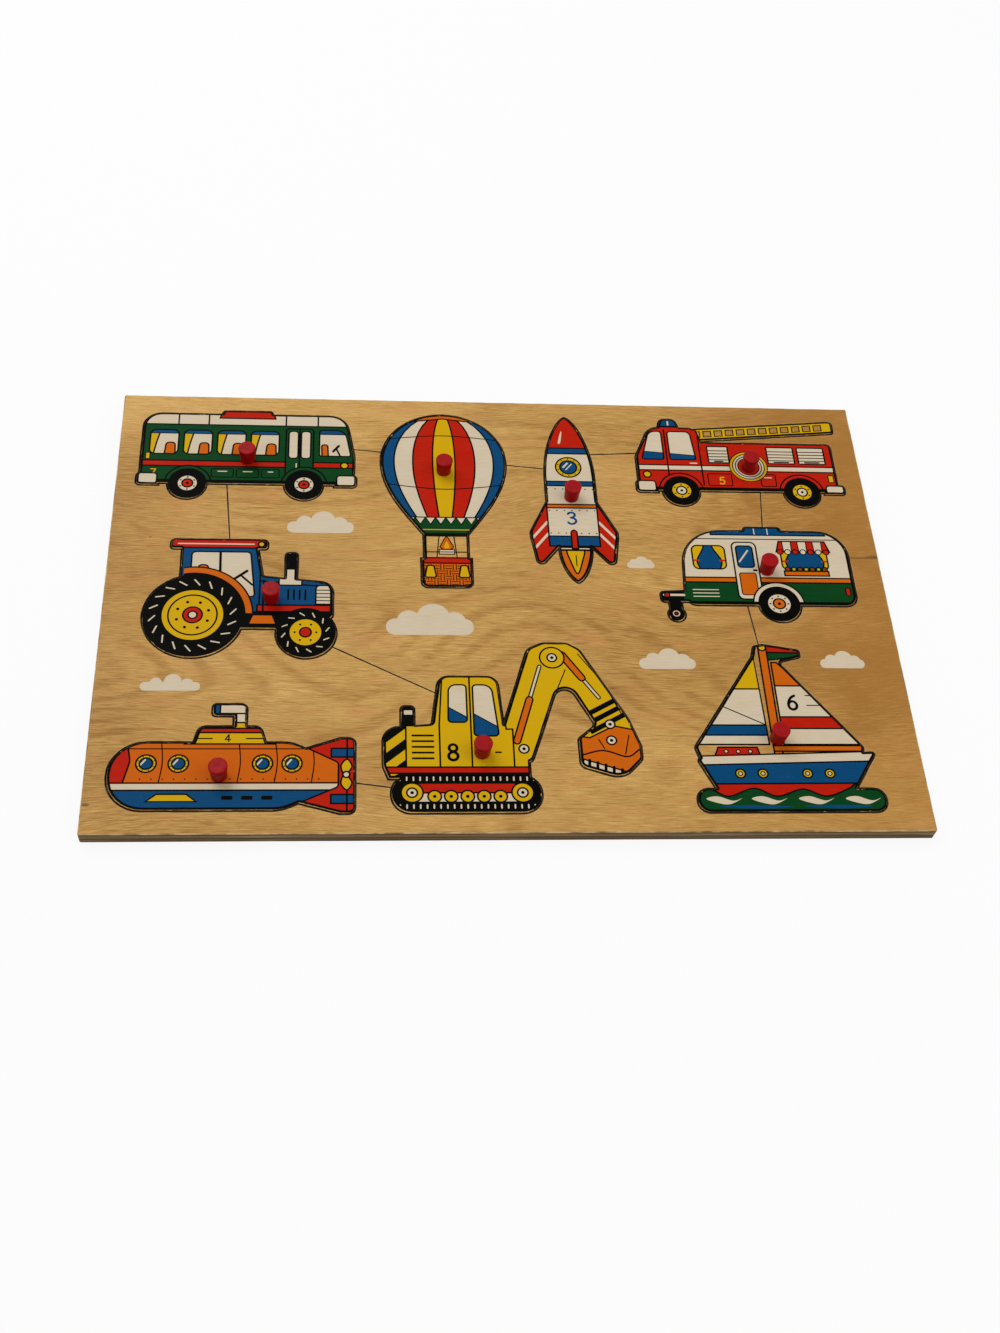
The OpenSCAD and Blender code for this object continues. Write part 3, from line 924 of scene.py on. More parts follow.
@dataclass
class Plate:
    """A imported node's outlines as a sawn plywood plate with eased edges."""

    node: str
    ease: float = 0.2
    wear: float = 0.08
    # How much more the outer edge is worn than the edges of the openings
    outer_wear: float = 1.0
    foot_ease: float = 0.12
    stretch: float = 4.0
    wear_length: float = 21.0
    # The map gives the upper face its top two thirds, then the underside, then the edges
    face_floor: float = 0.36
    under_floor: float = 0.08
    map_start: float = 0.005
    map_end: float = 0.99
    # How much of their heights on the map the underside and the edges fill
    under_share: float = 0.9
    edge_share: float = 0.95
    # Where the edges' strip starts on the map and how long it is
    strip_start: float = 0.01
    strip_length: float = 0.98

    def __post_init__(self) -> None:
        """Reads the node's heights and its outlines, the outer one first."""
        self.foot, self.top = (corner[2] for corner in box_of(self.node))
        self.loops = sorted(top_loops(self.node), key=area_of, reverse=True)

    def piece(self, name: str, body: str, slot: str,
              materials: list[bpy.types.Material]) -> None:
        """Makes the plate a piece that stands for its node."""
        self.surface().piece(name, body, slot, materials, [self.node])

    def surface(self) -> Surface:
        """Builds the plate.

        Every loop is carried down a profile: a quarter round at the top edge, whose radius
        comes and goes along the loop, the upright sawn edge and a small bevel at the foot.

        Returns:
            The closed plate, with finishes 0 to 3 for face, rim, edge and underside.
        """
        surface = Surface()
        factors = [self.outer_wear] + [1.0] * (len(self.loops) - 1)
        loops = [finer(eased(loop, (self.ease + self.wear) * factor), self.stretch)
                 for loop, factor in zip(self.loops, factors)]
        rings = [self._rings(loop, factor) for loop, factor in zip(loops, factors)]
        low, high = loops[0].min(axis=0), loops[0].max(axis=0)
        face_height = self.map_end - self.face_floor
        scale = min(self.map_end / (high - low)[0], face_height / (high - low)[1])
        points, faces = filled([ring[0][:, :2] for ring in rings])
        chart = (points - low) * scale + [self.map_start, self.face_floor]
        surface.add(at_height(points, self.top), faces, 0, False, chart)
        points, faces = filled([ring[-1][:, :2] for ring in rings])
        under_height = (self.face_floor - self.under_floor) * self.under_share
        squeeze = [1.0, under_height / face_height]
        chart = (points - low) * scale * squeeze + [self.map_start, self.under_floor]
        surface.add(at_height(points, self.foot), faces[:, ::-1], 3, False, chart)
        total, done = sum(map(len, loops)), 0
        for ring in rings:
            count = len(ring[0])
            along = (done + np.arange(count)) / total * self.strip_length + self.strip_start
            done += count
            for number, (upper, lower) in enumerate(zip(ring[:-1], ring[1:])):
                points, faces = band(upper, lower)
                rise = np.repeat([number, number + 1], count) / len(ring) * self.under_floor
                levels = self.under_floor * self.edge_share - rise
                chart = np.column_stack([np.tile(along, 2), levels])
                surface.add(points, faces, 1 if number < len(ring) - 3 else 2, True, chart)
        return surface

    def _rings(self, loop: Points, factor: float) -> list[Points]:
        """Carries a loop down the profile.

        Args:
            loop: The loop, with the wood on its left.
            factor: How much more its edge is worn than the openings' edges.

        Returns:
            The loop at each height, from the upper face down.
        """
        ease = (self.ease + self.wear * waver(loop, self.wear_length)) * factor
        rings = [at_height(inset(loop, ease * (1 - np.sin(angle))),
                           self.top - ease * (1 - np.cos(angle)))
                 for angle in np.radians([0, 30, 60, 90])]
        return [*rings, at_height(loop, self.foot + self.foot_ease),
                at_height(inset(loop, self.foot_ease), self.foot)]


def spots_in(text: str) -> Points:
    """Reads spots such as "40,900 500,1000,20": x, y and perhaps a radius, in thousandths."""
    return np.array([[*map(float, spot.split(",")), 0.0][:3] for spot in text.split()]) / PARTS


@dataclass
class Artwork:
    """A picture on one shape, built up coat by coat and cut into one film for each ink.

    Later coats cover earlier ones. In a text, x is in thousandths of the box's width, and y and
    the radius are in thousandths of its height. Pen widths and radii of discs are millimetres.
    """

    corner: Points
    size: Points
    outlines: list[Points] = field(default_factory=list)
    coats: dict[int, tuple[Ink, frozenset[int]]] = field(default_factory=dict)
    stencils: tuple[int, ...] = ()
    # How much the pen's width wavers and over which length, and a digit's pen to its height
    pen_waver: float = 0.07
    waver_length: float = 9.0
    digit_pen: float = 0.085
    # The flakes' lengths and depths, and how far inside the outline their middles lie
    chip_lengths: Place = (0.4, 1.6)
    chip_depths: Place = (0.2, 0.55)
    chip_inset: float = 0.2
    # How many corners a flake has, how far they lie out as a share of its size, and how far
    # apart the places are where one may sit
    chip_corners: int = 7
    chip_jags: Place = (0.5, 1.1)
    chip_step: float = 0.5
    # The longest stretch of the black contour's path
    contour_step: float = 5.0
    # A circle's corners for each millimetre of its radius, and the fewest and the most
    disc_density: int = 9
    disc_corners: tuple[int, int] = (12, 72)

    def at(self, x: float, y: float = 0.0) -> "Artwork":
        """The same picture, with its spots counted from another one."""
        return replace(self, corner=self.corner + np.array([x, y]) / PARTS * self.size)

    def spots(self, figure: Figure) -> Points:
        """Finds where a figure lies on the board.

        Args:
            figure: A text with spots, or places in millimetres.

        Returns:
            Rows of x, y and corner radius, in millimetres.
        """
        if isinstance(figure, str):
            return spots_in(figure) * self.size[[0, 1, 1]] + [*self.corner, 0.0]
        rows = np.atleast_2d(figure)
        return rows if rows.shape[1] == 3 else at_height(rows, 0.0)

    def place(self, figure: Figure) -> Points:
        """Rows of x and y on the board, in millimetres."""
        return self.spots(figure)[:, :2]

    def round_about(self, centre: Figure, radius: float, count: int, start: float) -> Points:
        """Places at equal steps on a circle, from a start angle in degrees."""
        return self.place(centre) + spread(count, start) * radius

    def coat(self, ink: Ink, outline: Points) -> Points:
        """Lays one coat.

        Args:
            ink: The coat's ink.
            outline: What it fills, in millimetres.

        Returns:
            The outline, anticlockwise.
        """
        self.coats[len(self.outlines)] = (ink, frozenset(self.stencils))
        self.outlines.append(anticlockwise(outline))
        return self.outlines[-1]

    @contextmanager
    def inside(self, figure: Figure) -> Iterator[None]:
        """Lets what is drawn in its block show only inside a figure.

        Args:
            figure: The stencil's outline.

        Yields:
            Once, for the block.
        """
        self.stencils += (len(self.outlines),)
        self.outlines.append(anticlockwise(self.place(figure)))
        yield
        self.stencils = self.stencils[:-1]

    def flood(self, ink: Ink) -> None:
        """Covers the whole box."""
        self.coat(ink, self.place("-200,-200 1200,-200 1200,1200 -200,1200"))

    def fill(self, ink: Ink, grown: Callable[[float], Points], line: float) -> Points:
        """Fills an outline and draws a black line along it, half of it outside.

        Args:
            ink: The filling.
            grown: Gives the outline moved outwards by a length.
            line: The width of the line.

        Returns:
            The outline inside the line, in millimetres.
        """
        if line:
            self.coat(BLACK, grown(line / 2))
        return self.coat(ink, grown(-line / 2))

    def patch(self, ink: Ink, corners: Figure, line: float = LINE) -> Points:
        """Fills a shape with straight sides, whose corners run anticlockwise."""
        table = self.spots(corners)
        return self.fill(ink, lambda grow: rounded(table, grow), line)

    def box(self, ink: Ink, ends: str, line: float = LINE) -> Points:
        """Fills an upright box, with a line round it.

        Args:
            ink: The filling.
            ends: Its low left and its high right spot, the latter with the corners' radius.
            line: The width of the line.

        Returns:
            The outline inside the line, in millimetres.
        """
        (left, low, _), (right, high, radius) = self.spots(ends)
        corners = np.array([(left, low), (right, low), (right, high), (left, high)])
        return self.patch(ink, at_height(corners, radius), line)

    def blob(self, ink: Ink, points: str, line: float = LINE) -> Points:
        """Fills a smooth closed curve through the points."""
        curve = anticlockwise(smoothed(self.place(points), closed=True))
        return self.fill(ink, lambda grow: inset(curve, -grow), line)

    def disc(self, ink: Ink, centre: Figure, radius: float, line: float = LINE) -> Points:
        """Fills a circle, whose radius ends in the middle of its line."""
        ways = spread(int(np.clip(radius * self.disc_density, *self.disc_corners)))
        return self.fill(ink, lambda grow: self.place(centre) + ways * (radius + grow), line)

    def dot(self, centre: Figure, radius: float) -> None:
        """Fills a black circle."""
        self.disc(BLACK, centre, radius, NO_LINE)

    def studs(self, centre: Figure, reach: float, count: int, start: float,
              radius: float) -> None:
        """Draws dots at equal steps on a circle, from a start angle in degrees."""
        for place in self.round_about(centre, reach, count, start):
            self.dot(place, radius)

    def line(self, points: Figure, width: float = LINE, ink: Ink = BLACK,
             smooth: bool = False) -> None:
        """Draws a line through the points, bent smoothly where that is asked for."""
        path = self.place(points)
        self.pen(smoothed(path) if smooth else path, width / 2, ink)

    def pen(self, path: Points, radius: float, ink: Ink = BLACK) -> None:
        """Draws along a path in millimetres with a round pen whose radius wavers a little.

        Each stretch is the hull of two circles: half a circle about its first point, turned
        away from the second, and half a circle about the second, turned away from the first.

        Args:
            path: The points that the pen passes.
            radius: The pen's radius.
            ink: The ink that it leaves.
        """
        width = radius * (1 + self.pen_waver * waver(path, self.waver_length))
        ahead = unit(path[1:] - path[:-1])
        angles = np.radians([90, 130, 180, 230, 270])
        cosine, sine = np.cos(angles)[None, :, None], np.sin(angles)[None, :, None]
        back = ahead[:, None] * cosine + left_of(ahead)[:, None] * sine
        tails = path[:-1, None] + back * width[:-1, None, None]
        heads = path[1:, None] - back * width[1:, None, None]
        for outline in np.concatenate([tails, heads], axis=1):
            self.coat(ink, outline)

    def digit(self, name: str, low_left: str, height: float, ink: Ink) -> None:
        """Draws a plain digit with a round pen.

        Args:
            name: The digit.
            low_left: Where its foot begins.
            height: Its height.
            ink: The ink that the pen leaves.
        """
        start = self.place(low_left)
        for stroke, smooth in DIGITS[name]:
            path = start + spots_in(stroke)[:, :2] * height
            self.pen(smoothed(path, steps=6) if smooth else path, height * self.digit_pen, ink)

    def contour(self, loop: Points, shift: Place, width: float) -> None:
        """Draws the black contour along the shape's outline, in millimetres."""
        path = finer(loop, self.contour_step) + shift
        self.pen(np.concatenate([path, path[:1]]), width)

    def chips(self, loop: Points, spacing: float, seed: int) -> None:
        """Knocks small flakes of ink off along an outline in millimetres.

        Args:
            loop: The outline.
            spacing: The mean distance between two flakes.
            seed: Which random flakes are taken.
        """
        random = np.random.default_rng(seed)
        path = finer(loop, self.chip_step)
        ahead = unit(np.roll(path, -1, axis=0) - path)
        count = int(len(path) * self.chip_step / spacing)
        for spot in random.choice(len(path), count, replace=False):
            length, depth = random.uniform(*self.chip_lengths), random.uniform(*self.chip_depths)
            jags = random.uniform(*self.chip_jags, (self.chip_corners, 1))
            ragged = spread(self.chip_corners) * jags * [length, depth]
            middle = path[spot] + left_of(ahead[spot]) * self.chip_inset
            self.coat(BARE, middle + ragged[:, :1] * ahead[spot]
                      + ragged[:, 1:] * left_of(ahead[spot]))

    def cut(self, silhouettes: list[Points]) -> dict[Ink, tuple[Points, np.ndarray]]:
        """Cuts the picture up so that each spot has one ink, that of its topmost coat.

        Args:
            silhouettes: Outlines in millimetres, outside any of which nothing is printed.

        Returns:
            For each ink, the points and the anticlockwise triangles that it covers.
        """
        bounds = {len(self.outlines) + number for number in range(len(silhouettes))}
        points, found, owners = cut_apart(self.outlines + silhouettes)
        areas: dict[Ink, list[list[int]]] = {}
        for face, held in zip(found, owners):
            if not bounds <= held:
                continue
            for number in sorted(held, reverse=True):
                ink, stencils = self.coats.get(number, (None, None))
                if ink is not None and stencils <= held:
                    areas.setdefault(ink, []).append(face)
                    break
        areas.pop(BARE, None)
        return {ink: (points, np.array(triangles)) for ink, triangles in areas.items()}

    def print_on(self, name: str, body: str, slot: str, height: float, finishes: Finishes,
                 silhouettes: list[Points]) -> None:
        """Lays the cut picture on a face at a height as one closed film for each ink.

        A film is its triangles at the top, the same turned over a little below the wood's
        face, and a wall along each edge that only one triangle has.

        Args:
            name: The first part of the films' names.
            body: The body that they ride on.
            slot: A material slot's name, handed on with each film.
            height: The height of the printed face.
            finishes: The materials.
            silhouettes: The outlines that bound the print.
        """
        for ink, (points, triangles) in self.cut(silhouettes).items():
            starts, ends = rim_edges(triangles)
            count = len(points)
            walls = np.stack([starts + count, ends + count, ends, starts], axis=1)
            both = np.concatenate([at_height(points, height + ink.value.thickness),
                                   at_height(points, height - SUNK)])
            used = np.unique(np.concatenate([triangles.ravel(), (triangles + count).ravel()]))
            names = np.full(2 * count, -1)
            names[used] = np.arange(len(used))
            film = Surface()
            for faces in (triangles, (triangles + count)[:, ::-1], walls):
                film.add(both[used], names[faces])
            film.piece(f"{name}_{ink.value.name}_ink", body, slot, [finishes.inks[ink]],
                       mapped=False)


# Strokes of the plain digits in thousandths of their height, and whether each is bent smoothly
DIGITS = {
    "3": (("40,870 140,970 280,1000 440,950 520,790 420,620 220,550", True),
          ("220,550 470,470 580,280 490,80 290,0 130,30 20,140", True)),
    "4": (("460,0 460,1000 20,300 660,300", False),),
    "5": (("540,1000 140,1000 80,560", False),
          ("80,560 300,630 490,540 570,330 490,100 280,0 130,20 20,110", True)),
    "6": (("480,980 280,860 120,620 50,330 120,90 300,0 490,90 560,300 470,500 300,580 130,500 "
           "50,330", True),),
    "7": (("0,1000 600,1000 200,0", False),),
    "8": (("300,540 130,630 80,780 150,940 300,1000 450,940 520,780 470,630 300,540 110,430 "
           "40,250 120,70 300,0 480,70 560,250 490,430 300,540", True),),
}


@dataclass
class Peg:
    """A turned peg that widens towards its eased top, with the stem that glues it in."""

    node: str
    foot_share: float = 0.842
    rim: float = 0.75
    # The stem's radius and bevel, and how far it ends below the wood's face
    stem: float = 3.0
    stem_bevel: float = 0.3
    stem_gap: float = 0.1
    # The width and height of the foot's bevel, and how hollow the flank is
    foot_bevel: Place = (0.15, 0.2)
    hollow: float = 0.12
    # How far the top dips at a share of its radius, and in its middle
    dips: Place = (0.05, 0.07)
    dip_share: float = 0.45
    flank_steps: int = 7
    facets: int = 96

    def build(self, body: str, finishes: Finishes, face: float) -> None:
        """Turns the profile about the peg's axis and dresses it.

        The profile is a stem, a foot with a tiny bevel, a slightly hollow flank, a quarter
        round at the rim and a top that dips a little in its middle.

        Args:
            body: The body that the peg rides on.
            finishes: The materials.
            face: The height of the wood's face that the peg stands on.
        """
        low, high = box_of(self.node)
        radius, top = (high - low)[0] / 2, high[2]
        foot, start = radius * self.foot_share, face + self.foot_bevel[1]
        neck = (self.stem, face - self.stem_gap)
        stem = np.array([(0.0, low[2]), (self.stem - self.stem_bevel, low[2]),
                         (self.stem, low[2] + self.stem_bevel), neck])
        flank = np.linspace(0, 1, self.flank_steps)
        widths = foot + (radius - foot) * flank - self.hollow * np.sin(np.pi * flank)
        heights = start + (top - self.rim - start) * flank
        angles = np.radians([15, 30, 45, 60, 75, 90])
        edge = np.stack([radius - self.rim * (1 - np.cos(angles)),
                         top - self.rim * (1 - np.sin(angles))], axis=1)
        head = np.concatenate([[neck, (foot - self.foot_bevel[0], face)],
                               np.stack([widths, heights], axis=1), edge,
                               [(radius * self.dip_share, top - self.dips[0]),
                                (0.0, top - self.dips[1])]])
        surface = Surface()
        for profile, finish in ((stem, 1), (head, 0)):
            surface.add(*self._turned(profile, (low[:2] + high[:2]) / 2), finish, True)
        surface.piece(f"{self.node}_turned", body, "peg_red", [finishes.lacquer, finishes.back],
                      [self.node], mapped=False)

    def _turned(self, profile: Points, middle: Points) -> tuple[Points, np.ndarray]:
        """Turns a profile about an upright axis.

        Args:
            profile: Rows of radius and height, from the bottom up.
            middle: Where the axis stands.

        Returns:
            The points of the rings and the quads between them.
        """
        rings = profile[:, None, :1] * spread(self.facets)[None] + middle
        heights = np.broadcast_to(profile[:, None, 1:], (len(profile), self.facets, 1))
        here = np.arange(self.facets)
        after = np.roll(here, -1)
        steps = (np.arange(len(profile) - 1) * self.facets)[:, None]
        quads = np.stack([steps + here, steps + after, steps + after + self.facets,
                          steps + here + self.facets], axis=-1)
        return np.concatenate([rings, heights], axis=-1).reshape(-1, 3), quads.reshape(-1, 4)


@dataclass
class Shape:
    """One lift-out shape: its sawn plate, its picture and its peg."""

    body: str
    slot: str
    # How far the print lies off the cut, to the right and to the back
    shift: Place
    # Half width of the pen that follows the outline
    contour: float = 1.15
    # How far the film stays inside the worn edge, and the print inside its own outline
    edge_gap: float = 0.2
    print_gap: float = -0.1
    # How much bare wood the print leaves round the peg's hole
    hole_gap: float = 0.4
    chip_spacing: float = 40.0

    def __post_init__(self) -> None:
        """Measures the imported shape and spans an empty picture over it."""
        self.node = f"{self.body}_piece"
        low, high = box_of(self.node)
        self.art = Artwork(low[:2] + self.shift, (high - low)[:2])

    def draw(self) -> None:
        """Paints the picture, without its contour."""
        raise NotImplementedError

    def build(self, finishes: Finishes) -> None:
        """Makes the plate, prints the picture on it and stands the peg in it.

        Args:
            finishes: The materials.
        """
        plate = Plate(self.node)
        plate.piece(f"{self.body}_plate", self.body, self.slot,
                    finishes.plate(finishes.inked_rim))
        self.draw()
        outer, hole = plate.loops
        self.art.contour(outer, self.shift, self.contour)
        self.art.chips(outer, self.chip_spacing, len(self.body))
        self.art.coat(BARE, inset(hole, self.hole_gap))
        silhouettes = [inset(eased(outer, self.edge_gap), self.edge_gap),
                       inset(eased(outer, self.print_gap), self.print_gap) + self.shift]
        self.art.print_on(self.body, self.body, self.slot, plate.top, finishes, silhouettes)
        Peg(f"{self.body}_peg").build(self.body, finishes, plate.top)


@dataclass(frozen=True)
class Wheel:
    """A wheel on a picture's floor: a black tyre, a rim with bolts and a cap in its middle."""

    tyre: float
    rim: float
    rim_ink: Ink
    cap: float
    cap_ink: Ink
    bolts: int = 0
    # The arch over the wheel, and the level from which it shows
    arch: float = 0.0
    arch_ink: Ink = BARE
    sill: float = 205
    # The bolts' radius, and the dark hub's as a share of the cap's
    bolt: float = 0.5
    hub_share: float = 0.28

    def draw(self, art: Artwork, x: float) -> None:
        """Draws the wheel below its arch.

        Args:
            art: The picture.
            x: Where it stands, in thousandths of the picture's width.
        """
        centre = art.place(f"{x},0")[0] + [0, self.tyre]
        if self.arch:
            with art.inside(f"0,{self.sill} 1000,{self.sill} 1000,600 0,600"):
                art.disc(self.arch_ink, centre, self.arch)
        art.dot(centre, self.tyre)
        art.disc(self.rim_ink, centre, self.rim)
        art.studs(centre, (self.rim + self.cap) / 2, self.bolts, 90, self.bolt)
        art.disc(self.cap_ink, centre, self.cap)
        art.dot(centre, self.cap * self.hub_share)


@dataclass
class Bus(Shape):
    """A touring bus that drives to the right."""

    wheel: Wheel = Wheel(10.5, 5.6, WHITE, 2.9, RED, 6, 12.6, GREEN)
    axles: Place = (230, 760)

    def draw(self) -> None:
        """Roof, waistline, windows with curtains and seats, door, lights and wheels."""
        art = self.art
        art.flood(GREEN)
        art.box(WHITE, "-100,830 1100,1100")
        for x in (170, 310, 670, 820):
            art.line(f"{x},830 {x},970")
        art.patch(RED, "360,910 620,910 600,1050 380,1050")
        art.box(RED, "-100,355 1100,415")
        art.box(BLACK, "-100,-100 1100,205", NO_LINE)
        for x in (45, 200, 355, 510):
            bay = art.at(x)
            with bay.inside(bay.box(WHITE, "0,490 130,765,50")):
                bay.patch(ORANGE, "65,400 120,400 115,620,30 75,620,30")
                bay.patch(YELLOW, "-20,400 12,400 30,620 50,800 -20,800")
                bay.box(BLUE, "-20,725 150,800", FINE)
        art.box(GREEN, "672,235 800,800,30")
        for x in (685, 743):
            art.at(x).box(WHITE, "0,460 44,770,30")
        art.line("736,235 736,800")
        art.line("722,400 722,340", 0.7, WHITE)
        with art.inside(art.patch(WHITE, "828,490,20 975,490,20 948,790,100 828,790,30")):
            art.patch(ORANGE, "842,400 872,400 866,620,20 838,620,20")
            art.line("930,470 908,570", 1.0)
            art.line("892,545 918,610", 1.5)
            art.box(BLUE, "800,740 1000,850", FINE)
        for left, right in ((335, 435), (450, 550), (565, 645)):
            art.box(GREEN, f"{left},235 {right},330,15", FINE)
            art.line(f"{left + 30},300 {right - 30},300", 0.7, WHITE)
        art.digit("7", "60,250", 4.2, YELLOW)
        art.disc(YELLOW, "945,385", 2.1)
        art.box(YELLOW, "30,430 50,500,10", FINE)
        for x in (-100, 910):
            art.at(x).box(WHITE, "0,155 190,270,30")
        for x in self.axles:
            self.wheel.draw(art, x)


@dataclass
class Tractor(Shape):
    """A farm tractor that drives to the right."""

    rear: float = 26.0
    front: float = 15.5
    fender: float = 31.0

    def draw(self) -> None:
        """Cab, bonnet, engine, exhaust, fender and the two sizes of wheels."""
        art = self.art
        art.flood(BLUE)
        art.box(BLACK, "300,100 1100,375", NO_LINE)
        art.patch(ORANGE, "550,270 690,270 670,345 570,345", FINE)
        art.box(RED, "590,375 1100,430")
        art.box(BLUE, "600,430 1050,750")
        art.line("600,635 860,600 900,600", smooth=True)
        for x in (750, 780, 810, 840):
            art.line(f"{x},480 {x},560", 1.0)
        with art.inside(art.patch(WHITE, "895,440 1000,440 1000,600,30 895,600,30")):
            for y in (470, 500, 530, 560):
                art.line(f"880,{y} 1000,{y}", FINE)
        art.disc(YELLOW, "925,645", 1.9)
        art.box(WHITE, "700,600 820,760")
        art.box(BLACK, "700,735 820,950", NO_LINE)
        art.line("620,360 620,640", 1.0)
        with art.inside(art.patch(WHITE, "235,500,20 575,500,20 545,885,30 235,885,30")):
            art.patch(ORANGE, "280,500 340,500 325,770,30 270,770,30")
            art.line("560,600 500,680", 1.1)
            art.line("465,650 530,720", 1.5)
            art.line("395,400 385,900", 1.4)
        art.box(RED, "0,920 800,1100")
        art.line("160,955 560,955", 0.8, WHITE)
        art.disc(YELLOW, "600,955", 1.7)
        self._rear_wheel()
        self._front_wheel()

    def _rear_wheel(self) -> None:
        """The big wheel below its fender."""
        art = self.art
        hub = art.corner + self.rear
        with art.inside("200,360 620,360 620,900 200,900"):
            art.disc(ORANGE, hub, self.fender)
            art.dot(hub, self.rear + 1.3)
        art.dot(hub, self.rear)
        self._lugs(art.round_about(hub, 19.4, 18, 2), art.round_about(hub, 22.6, 18, 10), 0.8)
        for radius in (16.2, 12.6):
            art.disc(YELLOW, hub, radius)
        art.studs(hub, 8.6, 8, 20, 0.85)
        art.disc(RED, hub, 5.0)
        art.disc(WHITE, hub, 2.3)

    def _front_wheel(self) -> None:
        """The small wheel."""
        art = self.art
        hub = art.corner + [art.size[0] - self.front, self.front]
        art.dot(hub, self.front)
        self._lugs(art.round_about(hub, 10.6, 12, 4), art.round_about(hub, 12.6, 12, 14), 0.7)
        art.disc(YELLOW, hub, 8.6)
        art.studs(hub, 5.6, 6, 0, 0.6)
        art.disc(RED, hub, 3.0)

    def _lugs(self, inner: Points, outer: Points, width: float) -> None:
        """White lines from the inner to the outer places on a tyre."""
        for ends in np.stack([inner, outer], axis=1):
            self.art.line(ends, width, WHITE)


@dataclass
class Submarine(Shape):
    """A submarine that heads to the left."""

    portholes: tuple[float, ...] = (150, 280, 620, 740)

    def draw(self) -> None:
        """Tail, hull in two colours, portholes, tower with a digit and periscope."""
        art = self.art
        art.flood(RED)
        for y in (500, 80):
            art.box(BLUE, f"900,{y} 1100,{y + 80}")
        art.line("965,0 965,700")
        hull = "-20,0,290 700,20,300 930,230,40 930,450,40 740,645,300 -20,645,290"
        with art.inside(art.patch(ORANGE, hull)):
            art.box(WHITE, "-100,200 1100,265")
            art.box(BLUE, "-100,-100 1100,200")
            art.patch(RED, "-100,265 62,265 85,460,100 62,700 -100,700")
            for x in (215, 530, 680, 830):
                art.line(f"{x - 10},265 {x},450 {x - 10},660", FINE, smooth=True)
            for x in range(130, 851, 45):
                art.dot(f"{x},300", 0.4)
            art.line("0,575 900,575", FINE)
            art.patch(YELLOW, "160,100 360,100 320,165,20 200,165,20")
            for x in (460, 540, 620):
                art.box(BLACK, f"{x},115 {x + 45},150,10", NO_LINE)
        for x in self.portholes:
            centre = f"{x},440"
            art.disc(YELLOW, centre, 4.9)
            art.studs(centre, 4.1, 8, 22, 0.32)
            with art.inside(art.disc(BLUE, centre, 3.2)):
                art.line(f"{x - 22},430 {x - 4},475", 0.9, WHITE)
        for way in (1, -1):
            art.blob(YELLOW, f"955,340 940,{340 + way * 80} 965,{340 + way * 140} "
                             f"985,{340 + way * 70}")
        art.disc(WHITE, "962,340", 1.7)
        art.box(WHITE, "505,720 545,1050")
        art.box(WHITE, "430,905 545,1050")
        art.box(BLUE, "380,880 437,1050")
        art.patch(YELLOW, "300,620 670,620 620,820 350,820")
        art.box(RED, "300,725 700,765")
        art.digit("4", "463,642", 4.0, BLACK)
        for x in (345, 550):
            art.line(f"{x},670 {x + 65},670", 0.7)


